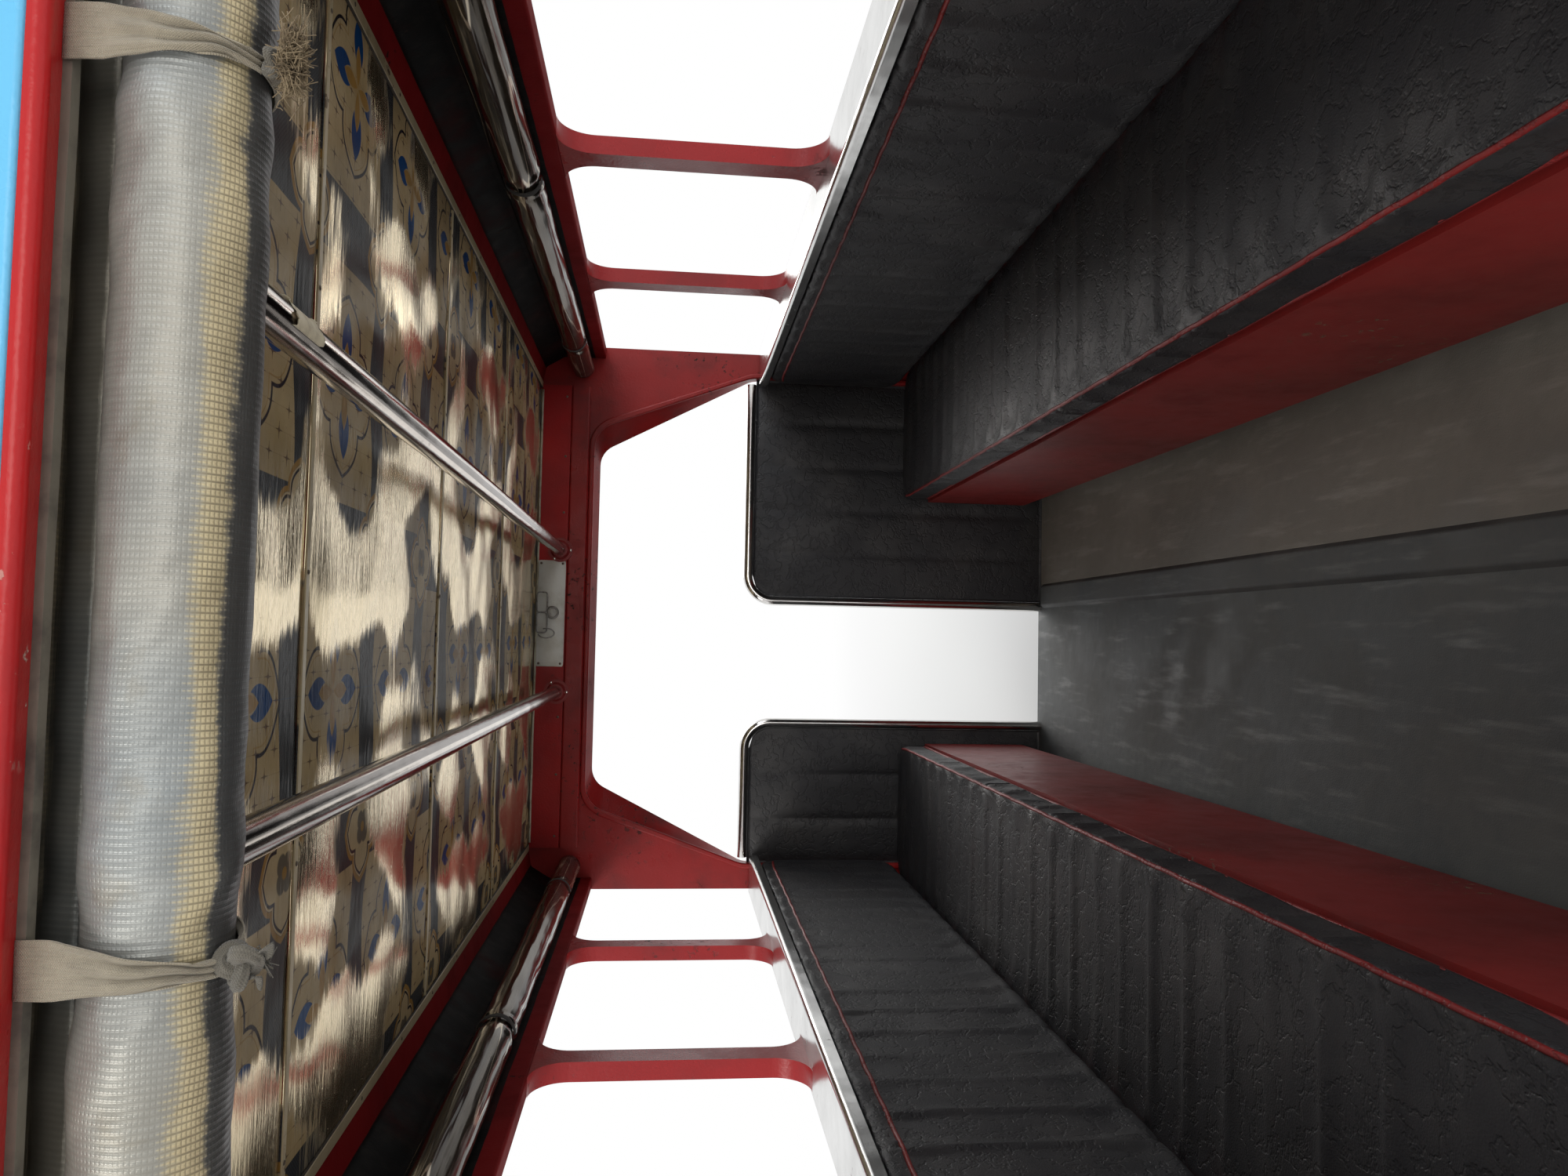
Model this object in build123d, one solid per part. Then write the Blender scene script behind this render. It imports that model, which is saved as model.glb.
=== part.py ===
"""Passenger cabin of a jeepney: the rear body section, with one node for each piece.

Millimetres, +Z up, +Y towards the cab, +X to the cabin's right-hand side.
The origin lies under the middle of the section, at the underside of its runners.
"""
from build123d import *
import math
import os

# General clearances
FIT = 0.3
SHEET = 2.0

# Cabin room
HEADROOM = 1380.0
INNER_WIDTH = 1380.0
WALL = 30.0
SILL_BELOW_CEILING = 600.0
WINDOW_DROP = 165.0
CABIN_LENGTH = 2472.0
BAY = 610.0
BAY_COUNT = 4

# Underframe
RUNNER_HEIGHT = 120.0
RUNNER_FLANGE = 50.0
RUNNER_STEEL = 5.0
RUNNER_SPREAD = 800.0
CROSS_HEIGHT = 60.0
CROSS_WIDTH = 70.0
CROSS_STEEL = 4.0
CROSS_SLOPE = 8.0
CROSS_PITCH = 500.0
CROSS_END_GAP = 60.0
CROSS_FRONT_GAP = 22.0
FLOOR_SHEET = 6.0
MOUNT_SPACING = 1830.0
MOUNT_AHEAD = 305.0
MOUNT_HOLE = 13.0

# Floor seam
SEAM_X = 80.0
SEAM_WIDTH = 66.0
SEAM_HEIGHT = 9.0

# Wheel housings
AXLE_FROM_REAR = 900.0
AXLE_DROP = 49.0
ARCH_RADIUS = 430.0
HOUSING_GAP = 10.0
HOUSING_DEPTH = 240.0
HOUSING_STEEL = 4.0

# Side walls
SKIRT_Z = 60.0
SIDE_BULGE = 14.0
SIDE_LEAN = 260.0
SIDE_TUCK = 110.0
BEAD_RADIUS = 9.0
BEAD_HEIGHTS = (330.0, 560.0, 780.0)
ARCH_LIP = 22.0
ARCH_LIP_PROUD = 10.0
CAP_HEIGHT = 22.0
CAP_PROUD = 12.0
POST_WIDTH = 46.0
POST_FLARE = 55.0

# Roof
ROOF_RISE = 40.0
ROOF_DEPTH = 62.0
ROOF_CORNER = 46.0
ROOF_FLANGE = 34.0
GUTTER_WIDTH = 16.0
GUTTER_LIP = 12.0
BOW_WIDTH = 40.0
COVE_WIDTH = 54.0
COVE_DROP = 8.0
LINER_DROP = 56.0

# Ceiling lining
CEILING_INSET = 80.0
CEILING_WIDTH = INNER_WIDTH - 2 * CEILING_INSET
LINING = 4.0
LINING_CORNER = 60.0
SEAM_GAP = 5.0
BATTEN_WIDTH = 9.0
BATTEN_THICK = 1.5
MOULDING_WIDTH = 16.0
MOULDING_THICK = 2.5

# Handrails
RAIL_DIAMETER = 32.0
RAIL_WALL = 2.0
RAIL_DROP = 60.0
RAIL_LEFT_X = -204.0
RAIL_RIGHT_X = 170.0
CUP_DIAMETER = 64.0
CUP_DEPTH = 14.0

# Front bulkhead
BOARD_THICK = 12.0
BOARD_HEIGHT = 78.0
BULKHEAD = 30.0
BEAM_PROUD = 12.0
OPENING_TOP = 142.0
OPENING_TOP_INSET = 194.0
OPENING_SIDE_INSET = 37.0
OPENING_WIDE_DROP = 560.0
OPENING_TOP_RADIUS = 70.0
OPENING_SIDE_RADIUS = 90.0
OPENING_LIP = 14.0
OPENING_LIP_PROUD = 9.0
REVEAL_SIDE = 55.0
REVEAL_TOP = 14.0
REVEAL_RADIUS = 60.0

# Low partitions behind the cab seats
PARTITION_HEIGHT = HEADROOM - OPENING_WIDE_DROP
PARTITION_THICK = 24.0
PARTITION_LEFT_EDGE = -280.0
PARTITION_RIGHT_EDGE = 50.0
PARTITION_CORNER = 70.0
FRAME_TUBE = 25.0

# Rear frame
FASCIA_THICK = 20.0
HEADER_DEPTH = 60.0
HEADER_DROP = 99.5
FASCIA_ABOVE = 5.8
FASCIA_EDGE = 8.5
EDGE_SLOPE = 4.6
FASCIA_RISE = 8.0
SOFFIT_BEND = 9.0
SOFFIT_SHORT = 6.0
REAR_POST_WIDTH = 50.0
REAR_PANEL_THICK = 30.0
REAR_PANEL_CORNER = 90.0
STEP_REACH = 250.0
STEP_WIDTH = 740.0
STEP_TOP = 60.0
STEP_STEEL = 5.0
STEP_EDGE = 40.0
GRAB_TUBE = 25.0
GRAB_REACH = 60.0
GRAB_HEIGHT = 570.0
GRAB_TOP_DROP = 236.0
LAMP_DIAMETER = 96.0
LAMP_DEPTH = 26.0

# Benches
BENCH_DEPTH = 360.0
SEAT_HEIGHT = 410.0
CUSHION = 80.0
BENCH_BOARD = 15.0
BENCH_TOE = 60.0
BACKREST = 60.0
BACKREST_GAP = 12.0
CUSHION_ROUND = 24.0

# Rolled curtains and their ties
ROLL_RADIUS = 32.0
ROLL_SET_IN = 41.0
ROLL_GAP = 8.0
HEM_THICK = 3.0
HEM_SET_IN = 16.0
SIDE_ROLL_RADIUS = 32.0
SIDE_ROLL_DROP = 106.0
TIE_WIDTH = 25.0
TIE_THICK = 2.0
TIE_SPACING = 370.0
TIE_COUNT = 4
KNOT_RADIUS = 11.0
KNOT_AHEAD = 14.0

# Levels
CROSS_TOP = RUNNER_HEIGHT + CROSS_HEIGHT
FLOOR_Z = CROSS_TOP + FLOOR_SHEET
CEILING_Z = FLOOR_Z + HEADROOM
SILL_Z = CEILING_Z - SILL_BELOW_CEILING
HEAD_Z = CEILING_Z - WINDOW_DROP
SOFFIT_Z = CEILING_Z - HEADER_DROP
LINING_TOP = CEILING_Z + LINING

# Stations along the cabin
OVERALL_LENGTH = STEP_REACH + CABIN_LENGTH + BOARD_THICK + BULKHEAD
REAR_Y = STEP_REACH - OVERALL_LENGTH / 2
HEADER_Y = REAR_Y + FASCIA_THICK
LINING_REAR_Y = HEADER_Y + HEADER_DEPTH + SHEET
BOARD_Y = REAR_Y + CABIN_LENGTH
BULKHEAD_Y = BOARD_Y + BOARD_THICK
FRONT_Y = BULKHEAD_Y + BULKHEAD
AXLE_Y = REAR_Y + AXLE_FROM_REAR
SEAM_STATIONS = [BOARD_Y - BAY * k for k in range(BAY_COUNT - 1, 0, -1)]

# Half widths
INNER_X = INNER_WIDTH / 2
OUTER_X = INNER_X + WALL
CEILING_X = CEILING_WIDTH / 2
OPENING_TOP_HALF = INNER_X - OPENING_TOP_INSET
OPENING_WIDE_HALF = INNER_X - OPENING_SIDE_INSET
AISLE_X = INNER_X - BENCH_DEPTH
POST_X = INNER_X - REAR_POST_WIDTH

nodes = {}


def outline(rows):
    """Closed outline from rows of (across, up, corner radius)."""
    face = Polygon(*[(across, up) for across, up, _ in rows], align=None)
    for across, up, radius in rows:
        if radius > 0:
            corner = face.vertices().sort_by_distance(Vector(across, up, 0))[0]
            face = fillet(corner, radius)
    return face


def block(across, up, width, height):
    """Rectangle with its lower left corner at (across, up)."""
    return Pos(across + width / 2, up + height / 2) * Rectangle(width, height)


def push_y(face, start, end):
    """Push an outline drawn in X and Z along Y, from start to end."""
    return Pos(0, start, 0) * extrude(Plane.XZ * face, amount=end - start, dir=(0, 1, 0))


def push_x(face, start, end):
    """Push an outline drawn in Y and Z along X, from start to end."""
    return Pos(start, 0, 0) * extrude(Plane.YZ * face, amount=end - start, dir=(1, 0, 0))


def push_z(face, low, high):
    """Push an outline drawn in X and Y upwards, from low to high."""
    return Pos(0, 0, low) * extrude(face, amount=high - low, dir=(0, 0, 1))


def tube_along(x, z, outer, inner, start, end):
    """Round tube along Y."""
    return push_y(Pos(x, z) * (Circle(outer / 2) - Circle(inner / 2)), start, end)


def left_of(shape):
    """The same piece on the left-hand side."""
    return mirror(shape, about=Plane.YZ)


def group(shapes):
    """Like pieces that don't touch, as one node."""
    return Compound(children=list(shapes))


def arched(half_width, top, base, corner):
    """Roof section: a shallow arch of ROOF_RISE over OUTER_X, with rounded shoulders."""
    radius = (OUTER_X ** 2 + ROOF_RISE ** 2) / (2 * ROOF_RISE)
    face = block(-half_width, base, 2 * half_width, top - base)
    face = face & (Pos(0, top - radius) * Circle(radius))
    if corner > 0:
        face = fillet(face.vertices().sort_by(Axis.Y)[-2:], corner)
    return face


def arch_face(radius):
    """Disc round the wheel's axle, drawn in Y and Z."""
    return Pos(AXLE_Y, -AXLE_DROP) * Circle(radius)


# Underframe: two channel runners with body-mount holes, and hat-section cross-members
RUNNER_X = RUNNER_SPREAD / 2
channel = block(-RUNNER_FLANGE / 2, 0, RUNNER_FLANGE, RUNNER_HEIGHT) - block(
    -RUNNER_FLANGE / 2, RUNNER_STEEL, RUNNER_FLANGE - RUNNER_STEEL, RUNNER_HEIGHT - 2 * RUNNER_STEEL)
MOUNT_MIDDLE = AXLE_Y + MOUNT_AHEAD
MOUNT_STATIONS = (MOUNT_MIDDLE - MOUNT_SPACING / 2, MOUNT_MIDDLE + MOUNT_SPACING / 2)
runner = push_y(Pos(RUNNER_X, 0) * channel, REAR_Y + FASCIA_THICK, FRONT_Y)
for station in MOUNT_STATIONS:
    runner -= Pos(RUNNER_X, station, 0) * Cylinder(MOUNT_HOLE / 2, 4 * RUNNER_STEEL)
nodes["underframe_runners"] = group([runner, left_of(runner)])

# Rows of (distance from the rear, half length); the short one passes between the wheel housings
HOUSING_X = INNER_X - HOUSING_DEPTH
CROSS_ROWS = (
    (CROSS_END_GAP, INNER_X),
    (AXLE_FROM_REAR - CROSS_PITCH, INNER_X),
    (AXLE_FROM_REAR, HOUSING_X - FIT),
    (AXLE_FROM_REAR + CROSS_PITCH, INNER_X),
    (CABIN_LENGTH - CROSS_PITCH, INNER_X),
    (CABIN_LENGTH - CROSS_FRONT_GAP, INNER_X),
)
hat = outline((
    (-CROSS_WIDTH / 2, RUNNER_HEIGHT, 0),
    (-CROSS_WIDTH / 2 + CROSS_SLOPE, CROSS_TOP, 3),
    (CROSS_WIDTH / 2 - CROSS_SLOPE, CROSS_TOP, 3),
    (CROSS_WIDTH / 2, RUNNER_HEIGHT, 0),
))
hat_void = Pos(0, RUNNER_HEIGHT) * outline((
    (-CROSS_WIDTH / 2 + CROSS_STEEL, 0, 0),
    (-CROSS_WIDTH / 2 + CROSS_SLOPE + CROSS_STEEL, CROSS_HEIGHT - CROSS_STEEL, 0),
    (CROSS_WIDTH / 2 - CROSS_SLOPE - CROSS_STEEL, CROSS_HEIGHT - CROSS_STEEL, 0),
    (CROSS_WIDTH / 2 - CROSS_STEEL, 0, 0),
))
members = [push_x(Pos(REAR_Y + distance, 0) * (hat - hat_void), -half, half)
           for distance, half in CROSS_ROWS]
nodes["underframe_crossmembers"] = group(members)

# Floor: a dark sheet and a paler one, cut for the wheel housings, under a raised seam
housing_half = math.sqrt((ARCH_RADIUS + HOUSING_GAP + HOUSING_STEEL) ** 2 - (CROSS_TOP + AXLE_DROP) ** 2)
notch = Pos(HOUSING_X + HOUSING_DEPTH / 2, AXLE_Y) * Rectangle(
    HOUSING_DEPTH + 2 * FIT, 2 * (housing_half + FIT))
floor_length = FRONT_Y - HEADER_Y
floor_right = Pos((SEAM_X + INNER_X) / 2, (FRONT_Y + HEADER_Y) / 2) * Rectangle(
    INNER_X - SEAM_X, floor_length)
floor_left = Pos((SEAM_X - INNER_X) / 2, (FRONT_Y + HEADER_Y) / 2) * Rectangle(
    INNER_X + SEAM_X, floor_length)
nodes["floor_sheet_right"] = push_z(floor_right - notch, CROSS_TOP, FLOOR_Z)
nodes["floor_sheet_left"] = push_z(floor_left - mirror(notch, about=Plane.YZ), CROSS_TOP, FLOOR_Z)
seam = outline((
    (SEAM_X - SEAM_WIDTH / 2, FLOOR_Z, 0),
    (SEAM_X - SEAM_WIDTH / 2 + 8, FLOOR_Z + SEAM_HEIGHT, 7),
    (SEAM_X + SEAM_WIDTH / 2 - 8, FLOOR_Z + SEAM_HEIGHT, 7),
    (SEAM_X + SEAM_WIDTH / 2, FLOOR_Z, 0),
))
nodes["floor_seam"] = push_y(seam, REAR_Y + FASCIA_THICK, BOARD_Y)

# Wheel housings: half drums under the benches, open to the outside
housing_outer = arch_face(ARCH_RADIUS + HOUSING_GAP + HOUSING_STEEL)
housing_inner = arch_face(ARCH_RADIUS + HOUSING_GAP)
above_floor = block(AXLE_Y - INNER_X, CROSS_TOP, INNER_WIDTH, HEADROOM)
housing = push_x(housing_outer & above_floor, HOUSING_X, INNER_X - FIT)
housing -= push_x(housing_inner, HOUSING_X + HOUSING_STEEL, INNER_X)
nodes["wheel_housings"] = group([housing, left_of(housing)])

# Side walls: bulged panels with pressed beads, a wheel arch and its rolled lip
wall_face = outline((
    (INNER_X, SKIRT_Z, 0),
    (OUTER_X - WALL / 3, SKIRT_Z, 14),
    (OUTER_X + SIDE_BULGE, SKIRT_Z + SIDE_TUCK, SIDE_TUCK),
    (OUTER_X + SIDE_BULGE, SILL_Z - SIDE_LEAN, 2 * SIDE_LEAN),
    (OUTER_X, SILL_Z, 0),
    (INNER_X, SILL_Z, 0),
))
for height in BEAD_HEIGHTS:
    lean = SIDE_BULGE * min(1, (SILL_Z - height) / SIDE_LEAN)
    wall_face += Pos(OUTER_X + lean - BEAD_RADIUS / 2, height) * Circle(BEAD_RADIUS)
wall = push_y(wall_face, HEADER_Y, BULKHEAD_Y)
lip = arch_face(ARCH_RADIUS + ARCH_LIP) & block(AXLE_Y - INNER_X, SKIRT_Z, INNER_WIDTH, HEADROOM)
wall += push_x(lip, INNER_X, OUTER_X + SIDE_BULGE + ARCH_LIP_PROUD)
wall -= push_x(arch_face(ARCH_RADIUS), 0, 2 * OUTER_X)
nodes["side_wall_right"] = wall
nodes["side_wall_left"] = left_of(wall)

# Caps over the side walls: the sills of the open windows
CAP_INNER = INNER_X - BACKREST
cap_face = outline((
    (CAP_INNER, SILL_Z, 0),
    (OUTER_X + CAP_PROUD, SILL_Z, 4),
    (OUTER_X + CAP_PROUD, SILL_Z + CAP_HEIGHT, 9),
    (CAP_INNER, SILL_Z + CAP_HEIGHT, 9),
))
cap = push_y(cap_face, HEADER_Y + HEADER_DEPTH, BULKHEAD_Y - OPENING_LIP_PROUD - FIT)
nodes["window_sill_right"] = cap
nodes["window_sill_left"] = left_of(cap)

# Window posts, flared at head and foot so that the openings have round corners
CAP_TOP = SILL_Z + CAP_HEIGHT
post_face = block(-POST_WIDTH / 2 - POST_FLARE, CAP_TOP, POST_WIDTH + 2 * POST_FLARE, HEAD_Z - CAP_TOP)
for hand in (-1, 1):
    middle = hand * (POST_WIDTH / 2 + POST_FLARE)
    gap = Pos(middle, (CAP_TOP + HEAD_Z) / 2) * RectangleRounded(
        2 * POST_FLARE, HEAD_Z - CAP_TOP, POST_FLARE - FIT)
    post_face -= gap
posts = [push_x(Pos(station, 0) * post_face, INNER_X + FIT, OUTER_X - FIT) for station in SEAM_STATIONS]
nodes["window_posts"] = group([*posts, *[left_of(post) for post in posts]])

# Cantrails: window head, liner and red cove in one length, fitted under the roof's shoulder
COVE_X = CEILING_X + MOULDING_WIDTH / 2 + COVE_WIDTH - 12
cantrail_face = outline((
    (CEILING_X + FIT, CEILING_Z, 0),
    (CEILING_X + MOULDING_WIDTH / 2, CEILING_Z, 0),
    (COVE_X, CEILING_Z - COVE_DROP, 12),
    (INNER_X, CEILING_Z - LINER_DROP, 15),
    (INNER_X, HEAD_Z, 4),
    (OUTER_X, HEAD_Z, 4),
    (OUTER_X, CEILING_Z + ROOF_DEPTH, 0),
    (CEILING_X + FIT, CEILING_Z + ROOF_DEPTH, 0),
))
under_roof = arched(OUTER_X, CEILING_Z + ROOF_DEPTH - SHEET - FIT, SKIRT_Z, ROOF_CORNER)
cantrail = push_y(cantrail_face & under_roof, HEADER_Y + HEADER_DEPTH, BULKHEAD_Y)
nodes["cantrail_right"] = cantrail
nodes["cantrail_left"] = left_of(cantrail)

# Roof: an arched skin with turned-down edges and gutters, over five bows
skin_outer = arched(OUTER_X + FIT + SHEET, CEILING_Z + ROOF_DEPTH, CEILING_Z - ROOF_FLANGE, ROOF_CORNER + SHEET)
skin_inner = arched(OUTER_X + FIT, CEILING_Z + ROOF_DEPTH - SHEET, CEILING_Z - 2 * ROOF_FLANGE, ROOF_CORNER)
gutter = outline((
    (OUTER_X + FIT, CEILING_Z - ROOF_FLANGE, 0),
    (OUTER_X + GUTTER_WIDTH, CEILING_Z - ROOF_FLANGE, 3),
    (OUTER_X + GUTTER_WIDTH, CEILING_Z - ROOF_FLANGE + GUTTER_LIP, 0),
    (OUTER_X + GUTTER_WIDTH - SHEET, CEILING_Z - ROOF_FLANGE + GUTTER_LIP, 0),
    (OUTER_X + GUTTER_WIDTH - SHEET, CEILING_Z - ROOF_FLANGE + SHEET, 0),
    (OUTER_X + FIT, CEILING_Z - ROOF_FLANGE + SHEET, 0),
))
skin_face = (skin_outer - skin_inner) + gutter + mirror(gutter, about=Plane.YZ)
nodes["roof_skin"] = push_y(skin_face, HEADER_Y + FIT, FRONT_Y)
bow_face = arched(CEILING_X, CEILING_Z + ROOF_DEPTH - SHEET - FIT, LINING_TOP, 0)
bow_stations = [LINING_REAR_Y, *[s - BOW_WIDTH / 2 for s in SEAM_STATIONS], BOARD_Y - BOW_WIDTH]
bows = [push_y(bow_face, station, station + BOW_WIDTH) for station in bow_stations]
nodes["roof_bows"] = group(bows)

# Ceiling lining: four panels with open seams, battens along their rear edges, side mouldings
panel_edges = [LINING_REAR_Y, *SEAM_STATIONS, BOARD_Y]
panels = []
battens = []
for rear, front in zip(panel_edges[:-1], panel_edges[1:]):
    length = front - rear - SEAM_GAP
    middle = rear + SEAM_GAP + length / 2
    face = Pos(0, middle) * Rectangle(CEILING_WIDTH, length)
    if front == BOARD_Y:
        face = fillet(face.vertices().sort_by(Axis.Y)[-2:], LINING_CORNER)
    panels.append(push_z(face, CEILING_Z, LINING_TOP))
    if rear > LINING_REAR_Y:
        strip = Pos(0, rear + SEAM_GAP + BATTEN_WIDTH / 2) * Rectangle(
            CEILING_WIDTH - MOULDING_WIDTH - 2 * FIT, BATTEN_WIDTH)
        battens.append(push_z(strip, CEILING_Z - BATTEN_THICK, CEILING_Z))
nodes["ceiling_panels"] = group(panels)
nodes["ceiling_battens"] = group(battens)
moulding_face = outline((
    (CEILING_X - MOULDING_WIDTH / 2, CEILING_Z, 0),
    (CEILING_X - MOULDING_WIDTH / 2, CEILING_Z - MOULDING_THICK, 1),
    (CEILING_X + MOULDING_WIDTH / 2, CEILING_Z - MOULDING_THICK, 1),
    (CEILING_X + MOULDING_WIDTH / 2, CEILING_Z, 0),
))
moulding = push_y(moulding_face, LINING_REAR_Y, BOARD_Y)
nodes["ceiling_mouldings"] = group([moulding, left_of(moulding)])

# Handrails: polished tubes between cups on the rear header and on the front board
for side, rail_x in (("left", RAIL_LEFT_X), ("right", RAIL_RIGHT_X)):
    rail_z = CEILING_Z - RAIL_DROP
    rail = tube_along(rail_x, rail_z, RAIL_DIAMETER, RAIL_DIAMETER - 2 * RAIL_WALL, LINING_REAR_Y, BOARD_Y)
    cup = Cylinder(CUP_DIAMETER / 2, 4) + Pos(0, 0, CUP_DEPTH / 2) * Cone(
        RAIL_DIAMETER / 2 + 10, RAIL_DIAMETER / 2 + 4, CUP_DEPTH)
    cup -= Cylinder(RAIL_DIAMETER / 2 - RAIL_WALL, 4 * CUP_DEPTH)
    for station, turn in ((LINING_REAR_Y + 2, -90), (BOARD_Y - 2, 90)):
        rail += Pos(rail_x, station, rail_z) * Rot(turn, 0, 0) * cup
    nodes[f"handrail_{side}"] = rail

# Front bulkhead: header board, and a pressing with a splayed opening, a rolled lip and a beam
board = push_y(block(-CEILING_X, CEILING_Z - BOARD_HEIGHT, CEILING_WIDTH, BOARD_HEIGHT), BOARD_Y, BULKHEAD_Y)
nodes["bulkhead_header_board"] = board


def opening(grow, foot):
    """Opening to the cab, from its top corners out to the walls and down to the foot."""
    half = (
        (OPENING_TOP_HALF + grow, CEILING_Z - OPENING_TOP + grow, OPENING_TOP_RADIUS + grow),
        (OPENING_WIDE_HALF + grow, CEILING_Z - OPENING_WIDE_DROP, OPENING_SIDE_RADIUS),
        (OPENING_WIDE_HALF + grow, foot, 0),
    )
    return outline([*half, *[(-x, z, radius) for x, z, radius in reversed(half)]])


def cab_opening(foot):
    """The same opening on the cab's side, narrower above the partitions by the reveal."""
    half = (
        (OPENING_TOP_HALF - REVEAL_SIDE, CEILING_Z - OPENING_TOP - REVEAL_TOP, REVEAL_RADIUS),
        (OPENING_WIDE_HALF, CEILING_Z - OPENING_WIDE_DROP, REVEAL_RADIUS),
        (OPENING_WIDE_HALF, foot, 0),
    )
    return outline([*half, *[(-x, z, radius) for x, z, radius in reversed(half)]])


bulkhead_face = arched(OUTER_X, CEILING_Z + ROOF_DEPTH - SHEET - FIT, FLOOR_Z, ROOF_CORNER)
reveal = loft([
    Plane.XZ.offset(-BULKHEAD_Y) * opening(0, FLOOR_Z - 1),
    Plane.XZ.offset(-FRONT_Y) * cab_opening(FLOOR_Z - 1),
], ruled=True)
bulkhead = push_y(bulkhead_face, BULKHEAD_Y, FRONT_Y) - reveal
lip_face = opening(OPENING_LIP, FLOOR_Z) - opening(0, FLOOR_Z - 1)
lip_ring = push_y(lip_face, BULKHEAD_Y - OPENING_LIP_PROUD, BULKHEAD_Y)
lip_front = lip_ring.faces().sort_by(Axis.Y)[0]
lip_ring = fillet(lip_front.edges(), OPENING_LIP / 3)
beam_low = CEILING_Z - OPENING_TOP + OPENING_LIP
beam_high = CEILING_Z - BOARD_HEIGHT
beam = push_y(block(-CEILING_X, beam_low, CEILING_WIDTH, beam_high - beam_low),
             BULKHEAD_Y - BEAM_PROUD, BULKHEAD_Y)
beam = fillet(beam.edges().filter_by(Axis.X).sort_by(Axis.Y)[:2], BEAM_PROUD / 2)
nodes["bulkhead_frame"] = bulkhead + lip_ring + beam

# Partitions: low panels either side of the gap to the cab, each framed by a bright tube
PARTITION_TOP = FLOOR_Z + PARTITION_HEIGHT
PARTITION_Y = BULKHEAD_Y + BULKHEAD / 2
partition_frames = []
for side, hand, inner in (("right", 1, PARTITION_RIGHT_EDGE), ("left", -1, -PARTITION_LEFT_EDGE)):
    reach = FRAME_TUBE / 2
    panel_rows = (
        (inner + reach + FIT, FLOOR_Z, 0),
        (inner + reach + FIT, PARTITION_TOP - reach - FIT, PARTITION_CORNER - reach - FIT),
        (OPENING_WIDE_HALF - FIT, PARTITION_TOP - reach - FIT, 0),
        (OPENING_WIDE_HALF - FIT, FLOOR_Z, 0),
    )
    panel = push_y(outline(panel_rows), PARTITION_Y - PARTITION_THICK / 2, PARTITION_Y + PARTITION_THICK / 2)
    path = FilletPolyline(
        (inner, PARTITION_Y, FLOOR_Z),
        (inner, PARTITION_Y, PARTITION_TOP),
        (OPENING_WIDE_HALF - OPENING_LIP, PARTITION_Y, PARTITION_TOP),
        radius=PARTITION_CORNER)
    frame = sweep(Plane(path @ 0, z_dir=path % 0) * Circle(reach), path=path)
    if hand < 0:
        panel = left_of(panel)
        frame = left_of(frame)
    nodes[f"partition_{side}"] = panel
    partition_frames.append(frame)
nodes["partition_frames"] = group(partition_frames)

# Rear header: box beam under the roof's edge, pale fascia with a red lower edge, bright soffit
header_face = arched(OUTER_X, CEILING_Z + ROOF_DEPTH - SHEET - FIT, SOFFIT_Z, ROOF_CORNER)
header = push_y(header_face, HEADER_Y, HEADER_Y + HEADER_DEPTH)
header_edge = header.edges().filter_by(Axis.X).sort_by_distance(Vector(0, HEADER_Y + HEADER_DEPTH, SOFFIT_Z))[0]
nodes["rear_header_beam"] = fillet(header_edge, SOFFIT_BEND)
fascia_low = SOFFIT_Z + FASCIA_ABOVE
fascia_face = arched(OUTER_X + SHEET, CEILING_Z + ROOF_DEPTH + FASCIA_RISE, fascia_low, ROOF_CORNER)
fascia = push_y(fascia_face, REAR_Y, HEADER_Y)
nodes["rear_fascia"] = fillet(fascia.faces().sort_by(Axis.Y)[0].edges(), 4)
edge_face = outline((
    (REAR_Y, fascia_low, 0),
    (REAR_Y, fascia_low - FASCIA_EDGE, 5),
    (HEADER_Y, fascia_low - FASCIA_EDGE + EDGE_SLOPE, 0),
    (HEADER_Y, fascia_low, 0),
))
nodes["rear_fascia_edge"] = push_x(edge_face, -OUTER_X - SHEET, OUTER_X + SHEET)
SOFFIT_X = POST_X - FIT
soffit_face = outline((
    (HEADER_Y, SOFFIT_Z - SHEET, 0),
    (LINING_REAR_Y, SOFFIT_Z - SHEET, SOFFIT_BEND),
    (LINING_REAR_Y, CEILING_Z - SOFFIT_SHORT - FIT, 0),
    (LINING_REAR_Y - SHEET, CEILING_Z - SOFFIT_SHORT - FIT, 0),
    (LINING_REAR_Y - SHEET, SOFFIT_Z, SOFFIT_BEND - SHEET),
    (HEADER_Y, SOFFIT_Z, 0),
))
nodes["rear_header_soffit"] = push_x(soffit_face, -SOFFIT_X, SOFFIT_X)

# Rear posts, and the panels that close the bench ends beside the doorway
rear_post_plan = Pos((POST_X + OUTER_X) / 2, HEADER_Y + HEADER_DEPTH / 2) * RectangleRounded(
    REAR_POST_WIDTH + WALL, HEADER_DEPTH, 8)
rear_post = push_z(rear_post_plan, FLOOR_Z, SOFFIT_Z)
wall_slot = Pos(INNER_X + WALL, HEADER_Y + HEADER_DEPTH / 2) * Rectangle(2 * WALL, HEADER_DEPTH)
rear_post -= push_z(wall_slot, CROSS_TOP, SILL_Z)
nodes["rear_post_right"] = rear_post
nodes["rear_post_left"] = left_of(rear_post)
rear_panel_face = outline((
    (AISLE_X, FLOOR_Z, 0),
    (POST_X, FLOOR_Z, 0),
    (POST_X, SILL_Z, 0),
    (AISLE_X, SILL_Z, REAR_PANEL_CORNER),
))
rear_panel = push_y(rear_panel_face, HEADER_Y, HEADER_Y + REAR_PANEL_THICK)
rear_panel = fillet(rear_panel.faces().sort_by(Axis.Y)[0].edges().filter_by(Axis.Z).sort_by(Axis.X)[0], 6)
nodes["rear_panel_right"] = rear_panel
nodes["rear_panel_left"] = left_of(rear_panel)

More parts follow.
